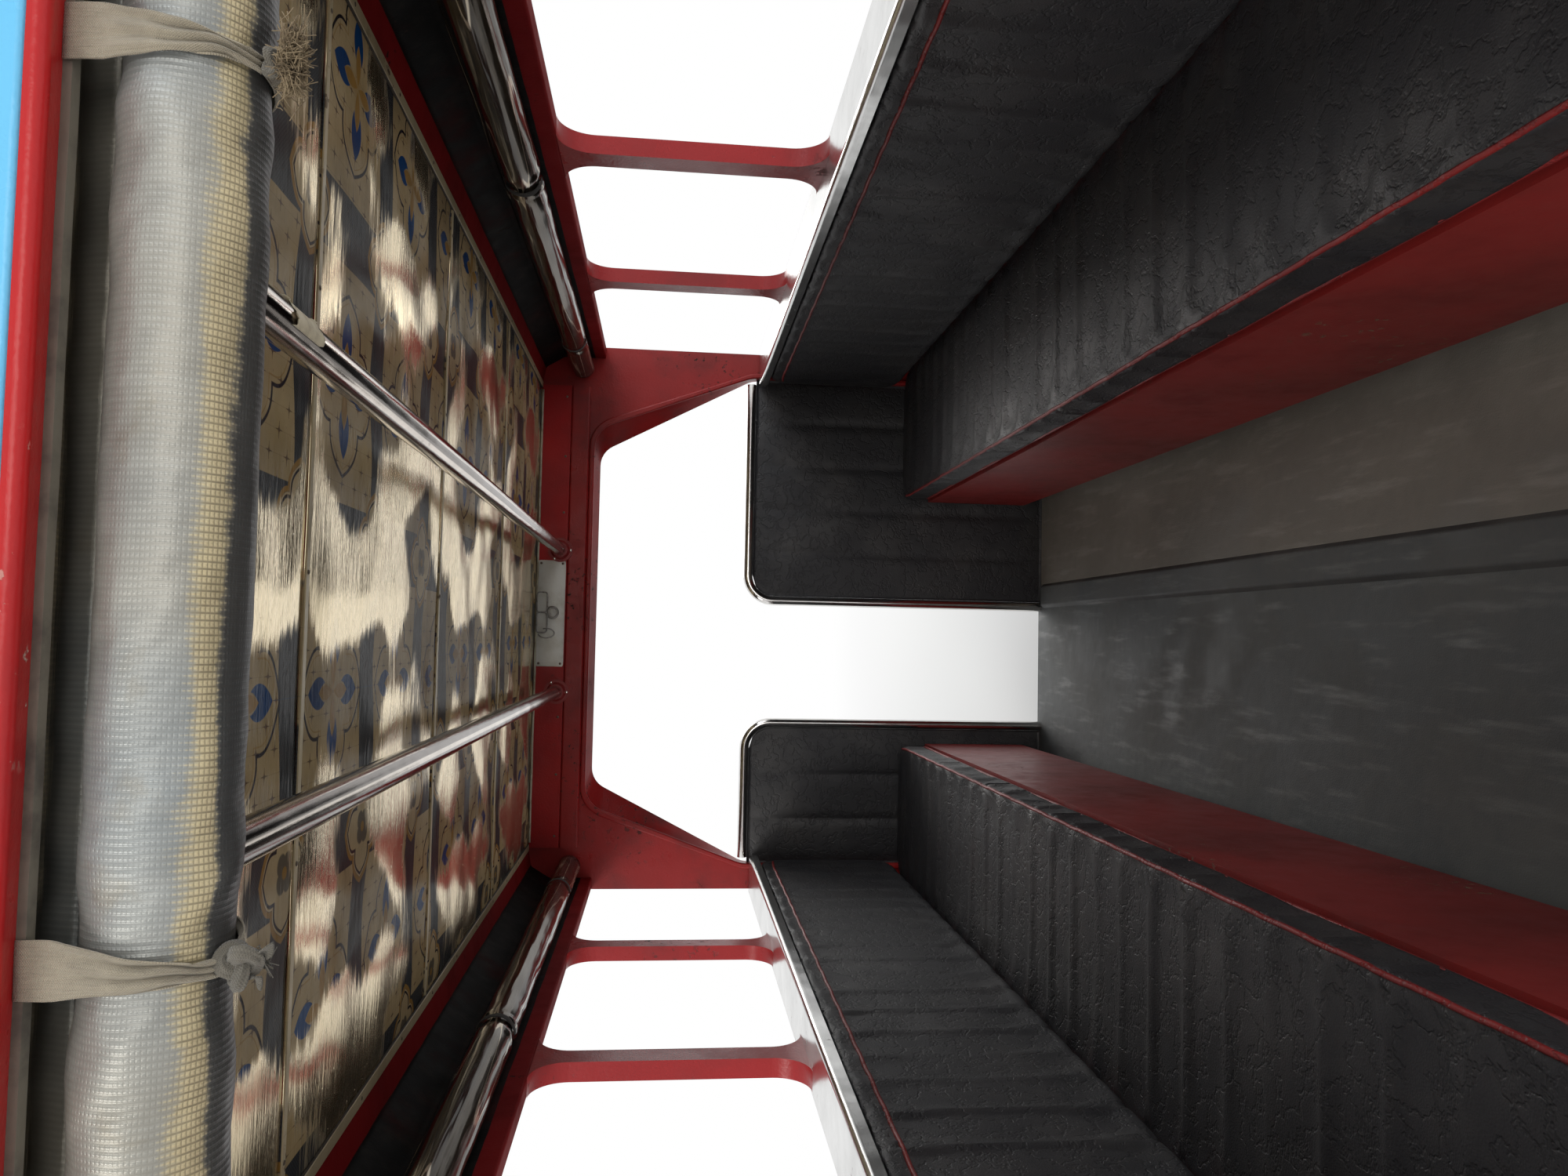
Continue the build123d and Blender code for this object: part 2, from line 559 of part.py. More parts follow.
# Grab bars and round lamps on the rear face
grab_x = (POST_X + OUTER_X) / 2
grab_top = CEILING_Z - GRAB_TOP_DROP
grab_path = FilletPolyline(
    (grab_x, HEADER_Y, grab_top - GRAB_HEIGHT),
    (grab_x, HEADER_Y - GRAB_REACH, grab_top - GRAB_HEIGHT),
    (grab_x, HEADER_Y - GRAB_REACH, grab_top),
    (grab_x, HEADER_Y, grab_top),
    radius=GRAB_TUBE * 1.2)
grab = sweep(Plane(grab_path @ 0, z_dir=grab_path % 0) * Circle(GRAB_TUBE / 2), path=grab_path)
nodes["rear_grab_bars"] = group([grab, left_of(grab)])
lamp_profile = outline((
    (0, 0, 0),
    (LAMP_DIAMETER / 2, 0, 0),
    (LAMP_DIAMETER / 2, LAMP_DEPTH / 2, 4),
    (LAMP_DIAMETER / 2 - 8, LAMP_DEPTH, 9),
    (0, LAMP_DEPTH, 0),
))
lamp = Rot(90, 0, 0) * revolve(Plane.XZ * lamp_profile, axis=Axis.Z)
lamp = Pos((AISLE_X + POST_X) / 2, HEADER_Y, SILL_Z - LAMP_DIAMETER) * lamp
nodes["rear_lamps"] = group([lamp, left_of(lamp)])

# Step behind the doorway: a folded tread on two brackets from the runners
step_face = outline((
    (REAR_Y - STEP_REACH, STEP_TOP, 8),
    (REAR_Y + FASCIA_THICK, STEP_TOP, 0),
    (REAR_Y + FASCIA_THICK, STEP_TOP - STEP_STEEL, 0),
    (REAR_Y - STEP_REACH + STEP_STEEL, STEP_TOP - STEP_STEEL, 4),
    (REAR_Y - STEP_REACH + STEP_STEEL, STEP_TOP - STEP_EDGE, 0),
    (REAR_Y - STEP_REACH, STEP_TOP - STEP_EDGE, 0),
))
step = push_x(step_face, -STEP_WIDTH / 2, STEP_WIDTH / 2)
bracket_face = outline((
    (REAR_Y - STEP_REACH * 0.8, STEP_TOP - STEP_STEEL, 0),
    (REAR_Y + FASCIA_THICK, STEP_TOP - STEP_STEEL, 0),
    (REAR_Y + FASCIA_THICK, RUNNER_STEEL, 0),
    (REAR_Y, RUNNER_STEEL, 0),
))
for hand in (-1, 1):
    bracket_x = hand * (STEP_WIDTH / 2 - RUNNER_FLANGE)
    step += push_x(bracket_face, bracket_x - STEP_STEEL, bracket_x + STEP_STEEL)
tie_bar = block(-RUNNER_X - RUNNER_FLANGE / 2, RUNNER_STEEL, RUNNER_SPREAD + RUNNER_FLANGE,
                RUNNER_HEIGHT - 2 * RUNNER_STEEL)
step += push_y(tie_bar, REAR_Y + FASCIA_THICK - 2 * STEP_STEEL, REAR_Y + FASCIA_THICK)
nodes["rear_step"] = step

# Benches: a boarded box with a toe space, a long cushion and a padded back on the side wall
BENCH_REAR = HEADER_Y + HEADER_DEPTH + FIT
BENCH_FRONT = BULKHEAD_Y - BEAM_PROUD - FIT
BENCH_TOP = FLOOR_Z + SEAT_HEIGHT - CUSHION
bench_face = outline((
    (AISLE_X + BENCH_TOE, FLOOR_Z, 0),
    (AISLE_X, FLOOR_Z + BENCH_TOE, 0),
    (AISLE_X, BENCH_TOP, 0),
    (INNER_X, BENCH_TOP, 0),
    (INNER_X, BENCH_TOP - BENCH_BOARD, 0),
    (AISLE_X + BENCH_BOARD, BENCH_TOP - BENCH_BOARD, 0),
    (AISLE_X + BENCH_BOARD, FLOOR_Z + BENCH_TOE + 6, 0),
    (AISLE_X + BENCH_TOE + BENCH_BOARD, FLOOR_Z, 0),
))
bench = push_y(bench_face, BENCH_REAR, BENCH_FRONT)
nodes["bench_base_right"] = bench
nodes["bench_base_left"] = left_of(bench)
BACK_X = INNER_X - BACKREST
cushion_face = outline((
    (AISLE_X - 6, BENCH_TOP + FIT, 8),
    (INNER_X - FIT, BENCH_TOP + FIT, 8),
    (INNER_X - FIT, BENCH_TOP + CUSHION, 12),
    (AISLE_X - 6, BENCH_TOP + CUSHION, CUSHION_ROUND),
))
cushion = push_y(cushion_face, BENCH_REAR + FIT, BENCH_FRONT - FIT)
nodes["bench_cushion_right"] = cushion
nodes["bench_cushion_left"] = left_of(cushion)
back_low = BENCH_TOP + CUSHION + BACKREST_GAP
back_face = outline((
    (INNER_X - FIT, back_low, 6),
    (INNER_X - FIT, SILL_Z - FIT, 0),
    (BACK_X + 8, SILL_Z - FIT, 18),
    (BACK_X, back_low + 40, 30),
    (BACK_X + 14, back_low, 16),
))
back = push_y(back_face, BENCH_REAR + FIT, BENCH_FRONT - FIT)
nodes["bench_back_right"] = back
nodes["bench_back_left"] = left_of(back)

# Rolled rain curtain under the rear header, and its knotted cloth ties
ROLL_Y = REAR_Y + ROLL_SET_IN
ROLL_Z = SOFFIT_Z - SHEET - ROLL_GAP - ROLL_RADIUS
ROLL_X = POST_X - 2
roll_face = Circle(ROLL_RADIUS) + block(HEM_SET_IN, 0, HEM_THICK, ROLL_RADIUS + ROLL_GAP - FIT)
roll_face = Pos(ROLL_Y, ROLL_Z) * roll_face
nodes["rear_curtain_roll"] = push_x(roll_face, -ROLL_X, ROLL_X)
tie_reach = ROLL_RADIUS + FIT
tie_top = (HEADER_Y - FIT - ROLL_Y, SOFFIT_Z - SHEET - ROLL_Z)
tie_turn = math.atan2(tie_top[1], tie_top[0]) + math.acos(tie_reach / math.hypot(*tie_top))
tie_way = (math.cos(tie_turn), math.sin(tie_turn))
tie_tab = outline((
    (tie_reach * tie_way[0], tie_reach * tie_way[1], 0),
    (*tie_top, 0),
    (tie_top[0] + TIE_THICK * tie_way[0], tie_top[1] + TIE_THICK * tie_way[1], 0),
    ((tie_reach + TIE_THICK) * tie_way[0], (tie_reach + TIE_THICK) * tie_way[1], 0),
))
tie_ring = Circle(tie_reach + TIE_THICK) - Circle(tie_reach)
tie_ring -= block(-ROLL_RADIUS * 2, (tie_reach + TIE_THICK) * tie_way[1], ROLL_RADIUS * 4, ROLL_RADIUS * 2)
knot_drop = math.sqrt((tie_reach + KNOT_RADIUS) ** 2 - KNOT_AHEAD ** 2)
ties = []
for index in range(TIE_COUNT):
    tie_x = (index - (TIE_COUNT - 1) / 2) * TIE_SPACING
    tie = push_x(Pos(ROLL_Y, ROLL_Z) * (tie_ring + tie_tab), tie_x - TIE_WIDTH / 2, tie_x + TIE_WIDTH / 2)
    knot = Pos(tie_x, ROLL_Y - KNOT_AHEAD, ROLL_Z - knot_drop) * Sphere(KNOT_RADIUS)
    ties.append(tie + knot)
nodes["rear_curtain_ties"] = group(ties)

# Rolled side curtains under the cantrails
side_roll_x = INNER_X - SIDE_ROLL_RADIUS - FIT
side_roll = push_y(Pos(side_roll_x, CEILING_Z - SIDE_ROLL_DROP) * Circle(SIDE_ROLL_RADIUS),
                  LINING_REAR_Y + FIT, BOARD_Y - 2 * FIT)
nodes["side_curtain_roll_right"] = side_roll
nodes["side_curtain_roll_left"] = left_of(side_roll)

os.makedirs("parts", exist_ok=True)
for name, shape in nodes.items():
    export_step(shape, f"parts/{name}.step")
    print(name, len(shape.solids()), "solids")
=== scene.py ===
"""Looks for a jeepney passenger cabin: finishes, soft goods, fittings and studio.

Metres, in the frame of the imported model: +Z up, +Y towards the cab, +X to the cabin's right.
"""

import logging
import math
from dataclasses import dataclass
from enum import Enum
from typing import Any, Optional, Sequence, Union

import bpy
import numpy as np
from mathutils import Matrix, Vector


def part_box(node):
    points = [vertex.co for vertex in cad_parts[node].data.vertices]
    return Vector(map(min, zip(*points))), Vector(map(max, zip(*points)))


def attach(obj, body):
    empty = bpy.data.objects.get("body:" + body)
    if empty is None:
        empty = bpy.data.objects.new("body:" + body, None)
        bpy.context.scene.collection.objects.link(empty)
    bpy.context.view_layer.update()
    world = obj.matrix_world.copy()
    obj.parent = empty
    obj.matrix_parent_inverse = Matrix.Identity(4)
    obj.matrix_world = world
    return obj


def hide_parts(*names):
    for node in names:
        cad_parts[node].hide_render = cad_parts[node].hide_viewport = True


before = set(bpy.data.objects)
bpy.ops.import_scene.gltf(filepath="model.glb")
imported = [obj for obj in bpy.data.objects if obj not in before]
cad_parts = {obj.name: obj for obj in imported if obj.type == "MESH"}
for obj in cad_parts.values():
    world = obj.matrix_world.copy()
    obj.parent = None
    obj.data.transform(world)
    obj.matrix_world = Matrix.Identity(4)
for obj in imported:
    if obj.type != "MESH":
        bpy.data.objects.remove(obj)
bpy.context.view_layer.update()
LOG = logging.getLogger("cabin")
Array = np.ndarray
Colour = tuple[float, float, float]
Triple = tuple[float, float, float]
Outline = tuple[tuple[float, float], ...]
Looks = dict[str, bpy.types.Material]
TURN = 2 * math.pi


def edges_of(node: str) -> tuple[Array, Array]:
    """Lowest and highest corner of a CAD node, as two arrays."""
    low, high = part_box(node)
    return np.array(low, float), np.array(high, float)


def scaled(colour: Colour, share: float) -> Colour:
    """A colour made darker or paler by one factor."""
    return tuple(share * part for part in colour)


def together(*parts: Any) -> Array:
    """Coordinates brought to one shape and laid side by side in a last axis."""
    return np.stack(np.broadcast_arrays(*parts), axis=-1)


def unit(vectors: Array) -> Array:
    """Vectors brought to length one along the last axis."""
    return vectors / np.linalg.norm(vectors, axis=-1, keepdims=True)


def run_along(path: Array) -> Array:
    """Distance from a path's start to each of its points, summed over its straight pieces."""
    return np.concatenate([[0], np.cumsum(np.linalg.norm(np.diff(path, axis=0), axis=1))])


def squared(wave: Array, power: float) -> Array:
    """A sine or cosine to a power with its sign kept: a low power squares the circle's corners."""
    return np.sign(wave) * np.abs(wave) ** power


def placed(name: str, data: Any) -> bpy.types.Object:
    """A new object of the scene, at the origin."""
    made = bpy.data.objects.new(name, data)
    bpy.context.scene.collection.objects.link(made)
    return made


class Value:
    """A shader socket that takes part in Python sums and comparisons."""

    def __init__(self, shade: "Shade", socket: bpy.types.NodeSocket) -> None:
        self.shade = shade
        self.socket = socket

    def math(self, operation: str, *others: Any, first: Any = None) -> "Value":
        """One Math node on this value and the others.

        Args:
            operation: Blender's name of the operation.
            others: The values or numbers that follow.
            first: What stands before this value, for a reflected operator.

        Returns:
            The node's result.
        """
        terms = [self, *others] if first is None else [first, self]
        node = self.shade.node("ShaderNodeMath", {"operation": operation}, dict(enumerate(terms)))
        return Value(self.shade, node.outputs[0])

    def __add__(self, other: Any) -> "Value":
        """Sum."""
        return self.math("ADD", other)

    __radd__ = __add__

    def __sub__(self, other: Any) -> "Value":
        """Difference."""
        return self.math("SUBTRACT", other)

    def __rsub__(self, other: Any) -> "Value":
        """Difference from a number."""
        return self.math("SUBTRACT", first=other)

    def __mul__(self, other: Any) -> "Value":
        """Product."""
        return self.math("MULTIPLY", other)

    __rmul__ = __mul__

    def __truediv__(self, other: Any) -> "Value":
        """Quotient."""
        return self.math("DIVIDE", other)

    def __neg__(self) -> "Value":
        """Opposite."""
        return self.math("MULTIPLY", -1.0)

    def __abs__(self) -> "Value":
        """Size without sign."""
        return self.math("ABSOLUTE")

    def __gt__(self, other: Any) -> "Value":
        """1 where it is greater."""
        return self.math("GREATER_THAN", other)

    def least(self, other: Any) -> "Value":
        """The smaller of two."""
        return self.math("MINIMUM", other)

    def most(self, other: Any) -> "Value":
        """The larger of two."""
        return self.math("MAXIMUM", other)

    def power(self, exponent: float) -> "Value":
        """Power."""
        return self.math("POWER", exponent)

    def sine(self) -> "Value":
        """Sine."""
        return self.math("SINE")

    def fold(self, period: float) -> "Value":
        """Distance from the nearest whole period, so a pattern repeats about zero."""
        return self.math("PINGPONG", period / 2)

    def wrap(self, half: float) -> "Value":
        """The value brought into the range from -half to half by whole periods."""
        return self.math("WRAP", half, -half)

    def step(self, low: float, high: float) -> "Value":
        """A smooth rise from 0 at low to 1 at high, or a fall where high is the lower."""
        node = self.shade.node("ShaderNodeMapRange", {"interpolation_type": "SMOOTHSTEP"},
                               {"Value": self, "From Min": min(low, high), "From Max": max(low, high),
                                "To Min": float(low > high), "To Max": float(low <= high)})
        return Value(self.shade, node.outputs[0])

    def band(self, half: float, soft: float) -> "Value":
        """1 within half of zero, fading over soft."""
        return abs(self).step(half + soft, half - soft)


class Source(Enum):
    """Where a finish's pattern is read."""

    OBJECT = "Object"
    UV = "UV"


class Shade:
    """One procedural material, or the world's surroundings, under construction."""

    def __init__(self, name: str, source: Optional[Source] = Source.OBJECT, owner: Any = None) -> None:
        self.material = owner or bpy.data.materials.new(name)
        self.material.use_nodes = True
        self.tree = self.material.node_tree
        self.tree.nodes.clear()
        if source:
            self.place = self.node("ShaderNodeTexCoord").outputs[source.value]
            self.x, self.y, self.z = self.parts(self.place)

    def parts(self, vector: bpy.types.NodeSocket) -> tuple[Value, Value, Value]:
        """The three numbers of a vector."""
        split = self.node("ShaderNodeSeparateXYZ", {}, {0: vector})
        return tuple(Value(self, part) for part in split.outputs)

    def normal(self) -> tuple[Value, Value, Value]:
        """The surface's direction."""
        return self.parts(self.node("ShaderNodeNewGeometry").outputs["Normal"])

    def seen(self) -> Value:
        """1 for the eye, in mirrors and through glass, and 0 for light on other surfaces."""
        path = self.node("ShaderNodeLightPath")
        eye, mirror, glass = (Value(self, path.outputs[f"Is {kind} Ray"])
                              for kind in ("Camera", "Glossy", "Transmission"))
        return eye.most(mirror).most(glass)

    def node(self, kind: str, settings: Optional[dict[str, Any]] = None,
             values: Optional[dict[Any, Any]] = None) -> bpy.types.Node:
        """Adds a node: its settings first, then its sockets' values or links.

        Args:
            kind: Blender's node type.
            settings: Attributes of the node.
            values: Socket name or index against a value, socket or Value.

        Returns:
            The node.
        """
        made = self.tree.nodes.new(kind)
        for name, setting in (settings or {}).items():
            setattr(made, name, setting)
        for name, value in (values or {}).items():
            if value is None:
                continue
            socket = made.inputs[name]
            if isinstance(value, Value):
                value = value.socket
            if isinstance(value, bpy.types.NodeSocket):
                self.tree.links.new(value, socket)
            elif isinstance(value, tuple) and len(value) == 3 and len(socket.default_value) == 4:
                socket.default_value = (*value, 1.0)
            else:
                socket.default_value = value
        return made

    def noise(self, scale: float, detail: float = 3.0, rough: float = 0.55,
              stretch: Triple = (1.0, 1.0, 1.0), place: Any = None) -> Value:
        """Fractal noise from 0 to 1 at the pattern's place, stretched along axes."""
        at = self.node("ShaderNodeMapping", {}, {"Vector": place or self.place, "Scale": stretch})
        made = self.node("ShaderNodeTexNoise", {}, {"Vector": at.outputs[0], "Scale": scale,
                                                    "Detail": detail, "Roughness": rough})
        return Value(self, made.outputs["Fac"])

    def cells(self, scale: float, feature: str = "F1") -> Value:
        """Distance in a Voronoi pattern."""
        made = self.node("ShaderNodeTexVoronoi", {"feature": feature}, {"Vector": self.place, "Scale": scale})
        return Value(self, made.outputs["Distance"])

    def vector(self, x: Any, y: Any, z: Any = 0.0) -> bpy.types.NodeSocket:
        """Three values as a vector."""
        return self.node("ShaderNodeCombineXYZ", {}, {0: x, 1: y, 2: z}).outputs[0]

    def blend(self, factor: Any, first: Any, second: Any) -> bpy.types.NodeSocket:
        """A colour between two, by a factor from 0 to 1."""
        return self.node("ShaderNodeMix", {"data_type": "RGBA", "clamp_factor": True},
                         {0: factor, 6: first, 7: second}).outputs[2]

    def layers(self, colour: Any, *coats: tuple[Any, Any]) -> bpy.types.NodeSocket:
        """Lays coats over a colour in order, each a factor from 0 to 1 and a colour."""
        for factor, coat in coats:
            colour = self.blend(factor, colour, coat)
        return colour

    def bump(self, height: Any, depth: float, under: Any = None) -> bpy.types.NodeSocket:
        """Relief of a height field, depth metres from its lowest to its highest."""
        return self.node("ShaderNodeBump", {}, {"Height": height, "Strength": 1.0, "Distance": depth,
                                                "Normal": under}).outputs[0]

    def mixed(self, factor: Value, first: bpy.types.Node, second: bpy.types.Node, output: str) -> None:
        """Closes the tree with two shaders mixed by a factor, into an output node."""
        mix = self.node("ShaderNodeMixShader", {}, {0: factor, 1: first.outputs[0], 2: second.outputs[0]})
        self.node(output, {}, {0: mix.outputs[0]})

    def finish(self, **sockets: Any) -> bpy.types.Material:
        """Closes the material with a Principled shader.

        Args:
            sockets: Its sockets, with _ for a space in each name.

        Returns:
            The material.
        """
        shader = self.node("ShaderNodeBsdfPrincipled", {},
                           {name.replace("_", " "): value for name, value in sockets.items()})
        self.node("ShaderNodeOutputMaterial", {}, {0: shader.outputs[0]})
        return self.material


@dataclass(frozen=True)
class Enamel:
    """Brushed or sprayed enamel over sheet steel, with chips, grime and soft waves."""

    name: str
    colour: Colour
    worn: Colour
    chip: Colour = (0.035, 0.025, 0.022)
    chips: float = 0.5
    gloss: float = 0.28
    grime: float = 0.35
    shine: float = 0.38

    def paint(self, shade: Shade) -> Any:
        """The coat's own colour, before chips and grime."""
        return shade.blend(shade.noise(3.0, 4.0).step(0.35, 0.7), self.colour, self.worn)

    def build(self) -> bpy.types.Material:
        """Mixes the coat with grime in slow clouds and with chips where two noises agree."""
        shade = Shade(self.name)
        coat = self.paint(shade)
        grime = shade.noise(6.0, 6.0, 0.65).step(0.48, 0.75) * self.grime
        coat = shade.blend(grime, coat, tuple(0.35 * c + 0.012 for c in self.colour))
        region = shade.noise(5.0, 2.0).step(0.60 - 0.12 * self.chips, 0.72)
        chips = shade.noise(70.0, 5.0, 0.6).step(0.60, 0.63) * region
        scratches = shade.noise(30.0, 3.0, 0.6, (1.0, 14.0, 14.0)).step(0.70, 0.74) * 0.35
        colour = shade.blend(chips, shade.blend(scratches, coat, self.worn), self.chip)
        relief = shade.bump(shade.noise(220.0, 2.0), 0.0003)
        relief = shade.bump(shade.noise(9.0, 2.0), 0.0025, relief)
        rough = shade.noise(24.0, 4.0) * 0.22 + (self.gloss - 0.1) + chips * 0.4 + grime * 0.3
        return shade.finish(Base_Color=colour, Roughness=rough, Specular_IOR_Level=self.shine,
                            Normal=shade.bump(1 - chips, 0.0004, relief))


@dataclass(frozen=True)
class BandedEnamel(Enamel):
    """Enamel for the outer walls, with painted lines at given heights."""

    lines: tuple[tuple[float, float, Colour], ...] = ()

    def paint(self, shade: Shade) -> Any:
        """Lays each band, given as low, high and colour, over the coat where it lies outside the cabin."""
        coat = super().paint(shade)
        outside = abs(shade.x) > 0.6985
        wobble = shade.noise(14.0, 2.0) * 0.0016
        for low, high, colour in self.lines:
            inside = (shade.z + wobble).step(low - 0.0006, low + 0.0006)
            inside = inside * (shade.z + wobble).step(high + 0.0006, high - 0.0006) * outside
            coat = shade.blend(inside, coat, colour)
        return coat


@dataclass(frozen=True)
class CoveEnamel(Enamel):
    """Cantrail in one length: red cove, dusty black liner under it, red window head."""

    liner: Colour = (0.006, 0.006, 0.006)
    dust: Colour = (0.018, 0.016, 0.014)

    def paint(self, shade: Shade) -> Any:
        """The liner lies between the cove's foot and the window head, inside the cabin."""
        coat = super().paint(shade)
        wobble = shade.noise(9.0, 3.0) * 0.004
        liner = (abs(shade.x) + wobble).step(0.6575, 0.6590) * (shade.z + wobble).step(1.4300, 1.4310)
        liner = liner * abs(shade.x).step(0.7000, 0.6995)
        dusty = shade.noise(22.0, 6.0, 0.7).step(0.42, 0.75)
        return shade.blend(liner, coat, shade.blend(dusty, self.liner, self.dust))


@dataclass(frozen=True)
class Bright:
    """Polished metal: fine scratches along its length, finger marks and a little tarnish.

    A rail with a painted end, which starts at that Y, also has dark bands of painted reflection along it.
    """

    name: str
    colour: Colour = (0.78, 0.77, 0.75)
    gloss: float = 0.09
    along: Triple = (60.0, 1.0, 60.0)
    tarnish: float = 0.5
    dents: float = 0.0004
    painted: float = 0.0
    paint: Colour = (0.23, 0.010, 0.011)
    spot: Colour = (0.16, 0.12, 0.09)
    # Painted reflection: the colour of dark bands round a rail
    dull: Colour = (0.085, 0.066, 0.056)

    def build(self) -> bpy.types.Material:
        """Scratch noise along the piece drives roughness and relief; bands are a sine round the rail."""
        shade = Shade(self.name)
        scratch = shade.noise(14.0, 4.0, 0.7, self.along)
        marks = shade.noise(11.0, 5.0, 0.65)
        spots = shade.noise(55.0, 4.0, 0.6).step(0.63, 0.74) * marks.step(0.45, 0.65) * self.tarnish
        colour = shade.blend(marks.step(0.3, 0.75), self.colour, scaled(self.colour, 0.8))
        colour = shade.blend(spots, colour, self.spot)
        rough = scratch * 0.10 + marks * 0.12 + (self.gloss - 0.08) + spots * 0.4
        relief = shade.bump(scratch, 0.00006, shade.bump(shade.noise(7.0, 2.0), self.dents * 4))
        if not self.painted:
            return shade.finish(Base_Color=colour, Metallic=1.0, Roughness=rough, Normal=relief)
        # Painted reflection: dark bands round the rail, from the angle of its normal
        across, _, up = shade.normal()
        around = across.math("ARCTAN2", -up)
        dull = (around * 7.0 + shade.noise(6.0, 3.0, 0.6, self.along) * 1.2).sine().step(0.75, 0.0)
        colour = shade.blend(dull * 0.92, colour, self.dull)
        cup = (shade.y + shade.noise(120.0, 3.0) * 0.004).step(self.painted, self.painted + 0.0015)
        return shade.finish(Base_Color=shade.blend(cup, colour, self.paint), Metallic=1 - cup,
                            Roughness=rough + cup * 0.3, Normal=relief)


@dataclass(frozen=True)
class Galvanised:
    """Zinc-coated sheet with spangle, dull bloom and some rust."""

    name: str = "galvanised_sheet"
    dark: Colour = (0.20, 0.21, 0.22)
    pale: Colour = (0.27, 0.28, 0.29)
    bloom: Colour = (0.17, 0.17, 0.165)
    rust: Colour = (0.14, 0.075, 0.04)

    def build(self) -> bpy.types.Material:
        """Voronoi cells of differing grey under clouds of bloom and rust."""
        shade = Shade(self.name)
        spangle = shade.cells(60.0)
        bloom = shade.noise(4.0, 6.0, 0.7).step(0.45, 0.7)
        rust = shade.noise(9.0, 6.0, 0.7).step(0.60, 0.72) * 0.5
        colour = shade.blend(spangle.step(0.1, 0.9), self.dark, self.pale)
        colour = shade.layers(colour, (bloom * 0.6, self.bloom), (rust, self.rust))
        rough = bloom * 0.25 + spangle * 0.12 + 0.34 + rust * 0.2
        return shade.finish(Base_Color=colour, Metallic=0.6, Roughness=rough,
                            Normal=shade.bump(shade.noise(5.0, 3.0), 0.003))


@dataclass(frozen=True)
class FloorSheet:
    """Worn floor covering: scuffs along the aisle, dust and stains."""

    name: str
    colour: Colour
    dust: Colour
    bumps: float = 0.0004

    def build(self) -> bpy.types.Material:
        """Clouds of dust, drag marks stretched along the aisle and fine pitting."""
        shade = Shade(self.name)
        clouds = shade.noise(4.0, 6.0, 0.65).step(0.35, 0.68)
        drags = shade.noise(9.0, 5.0, 0.6, (5.0, 0.7, 1.0)).step(0.5, 0.75)
        stains = shade.noise(2.3, 3.0).step(0.58, 0.68)
        colour = shade.layers(self.colour, (clouds * 0.7, self.dust), (drags * 0.35, scaled(self.dust, 1.5)),
                              (stains * 0.45, scaled(self.colour, 0.55)))
        rough = 0.62 - drags * 0.14 - stains * 0.16 + clouds * 0.16
        relief = shade.bump(shade.noise(8.0, 3.0), 0.004)
        relief = shade.bump(shade.noise(420.0, 2.0), self.bumps, relief)
        return shade.finish(Base_Color=colour, Roughness=rough, Normal=relief)


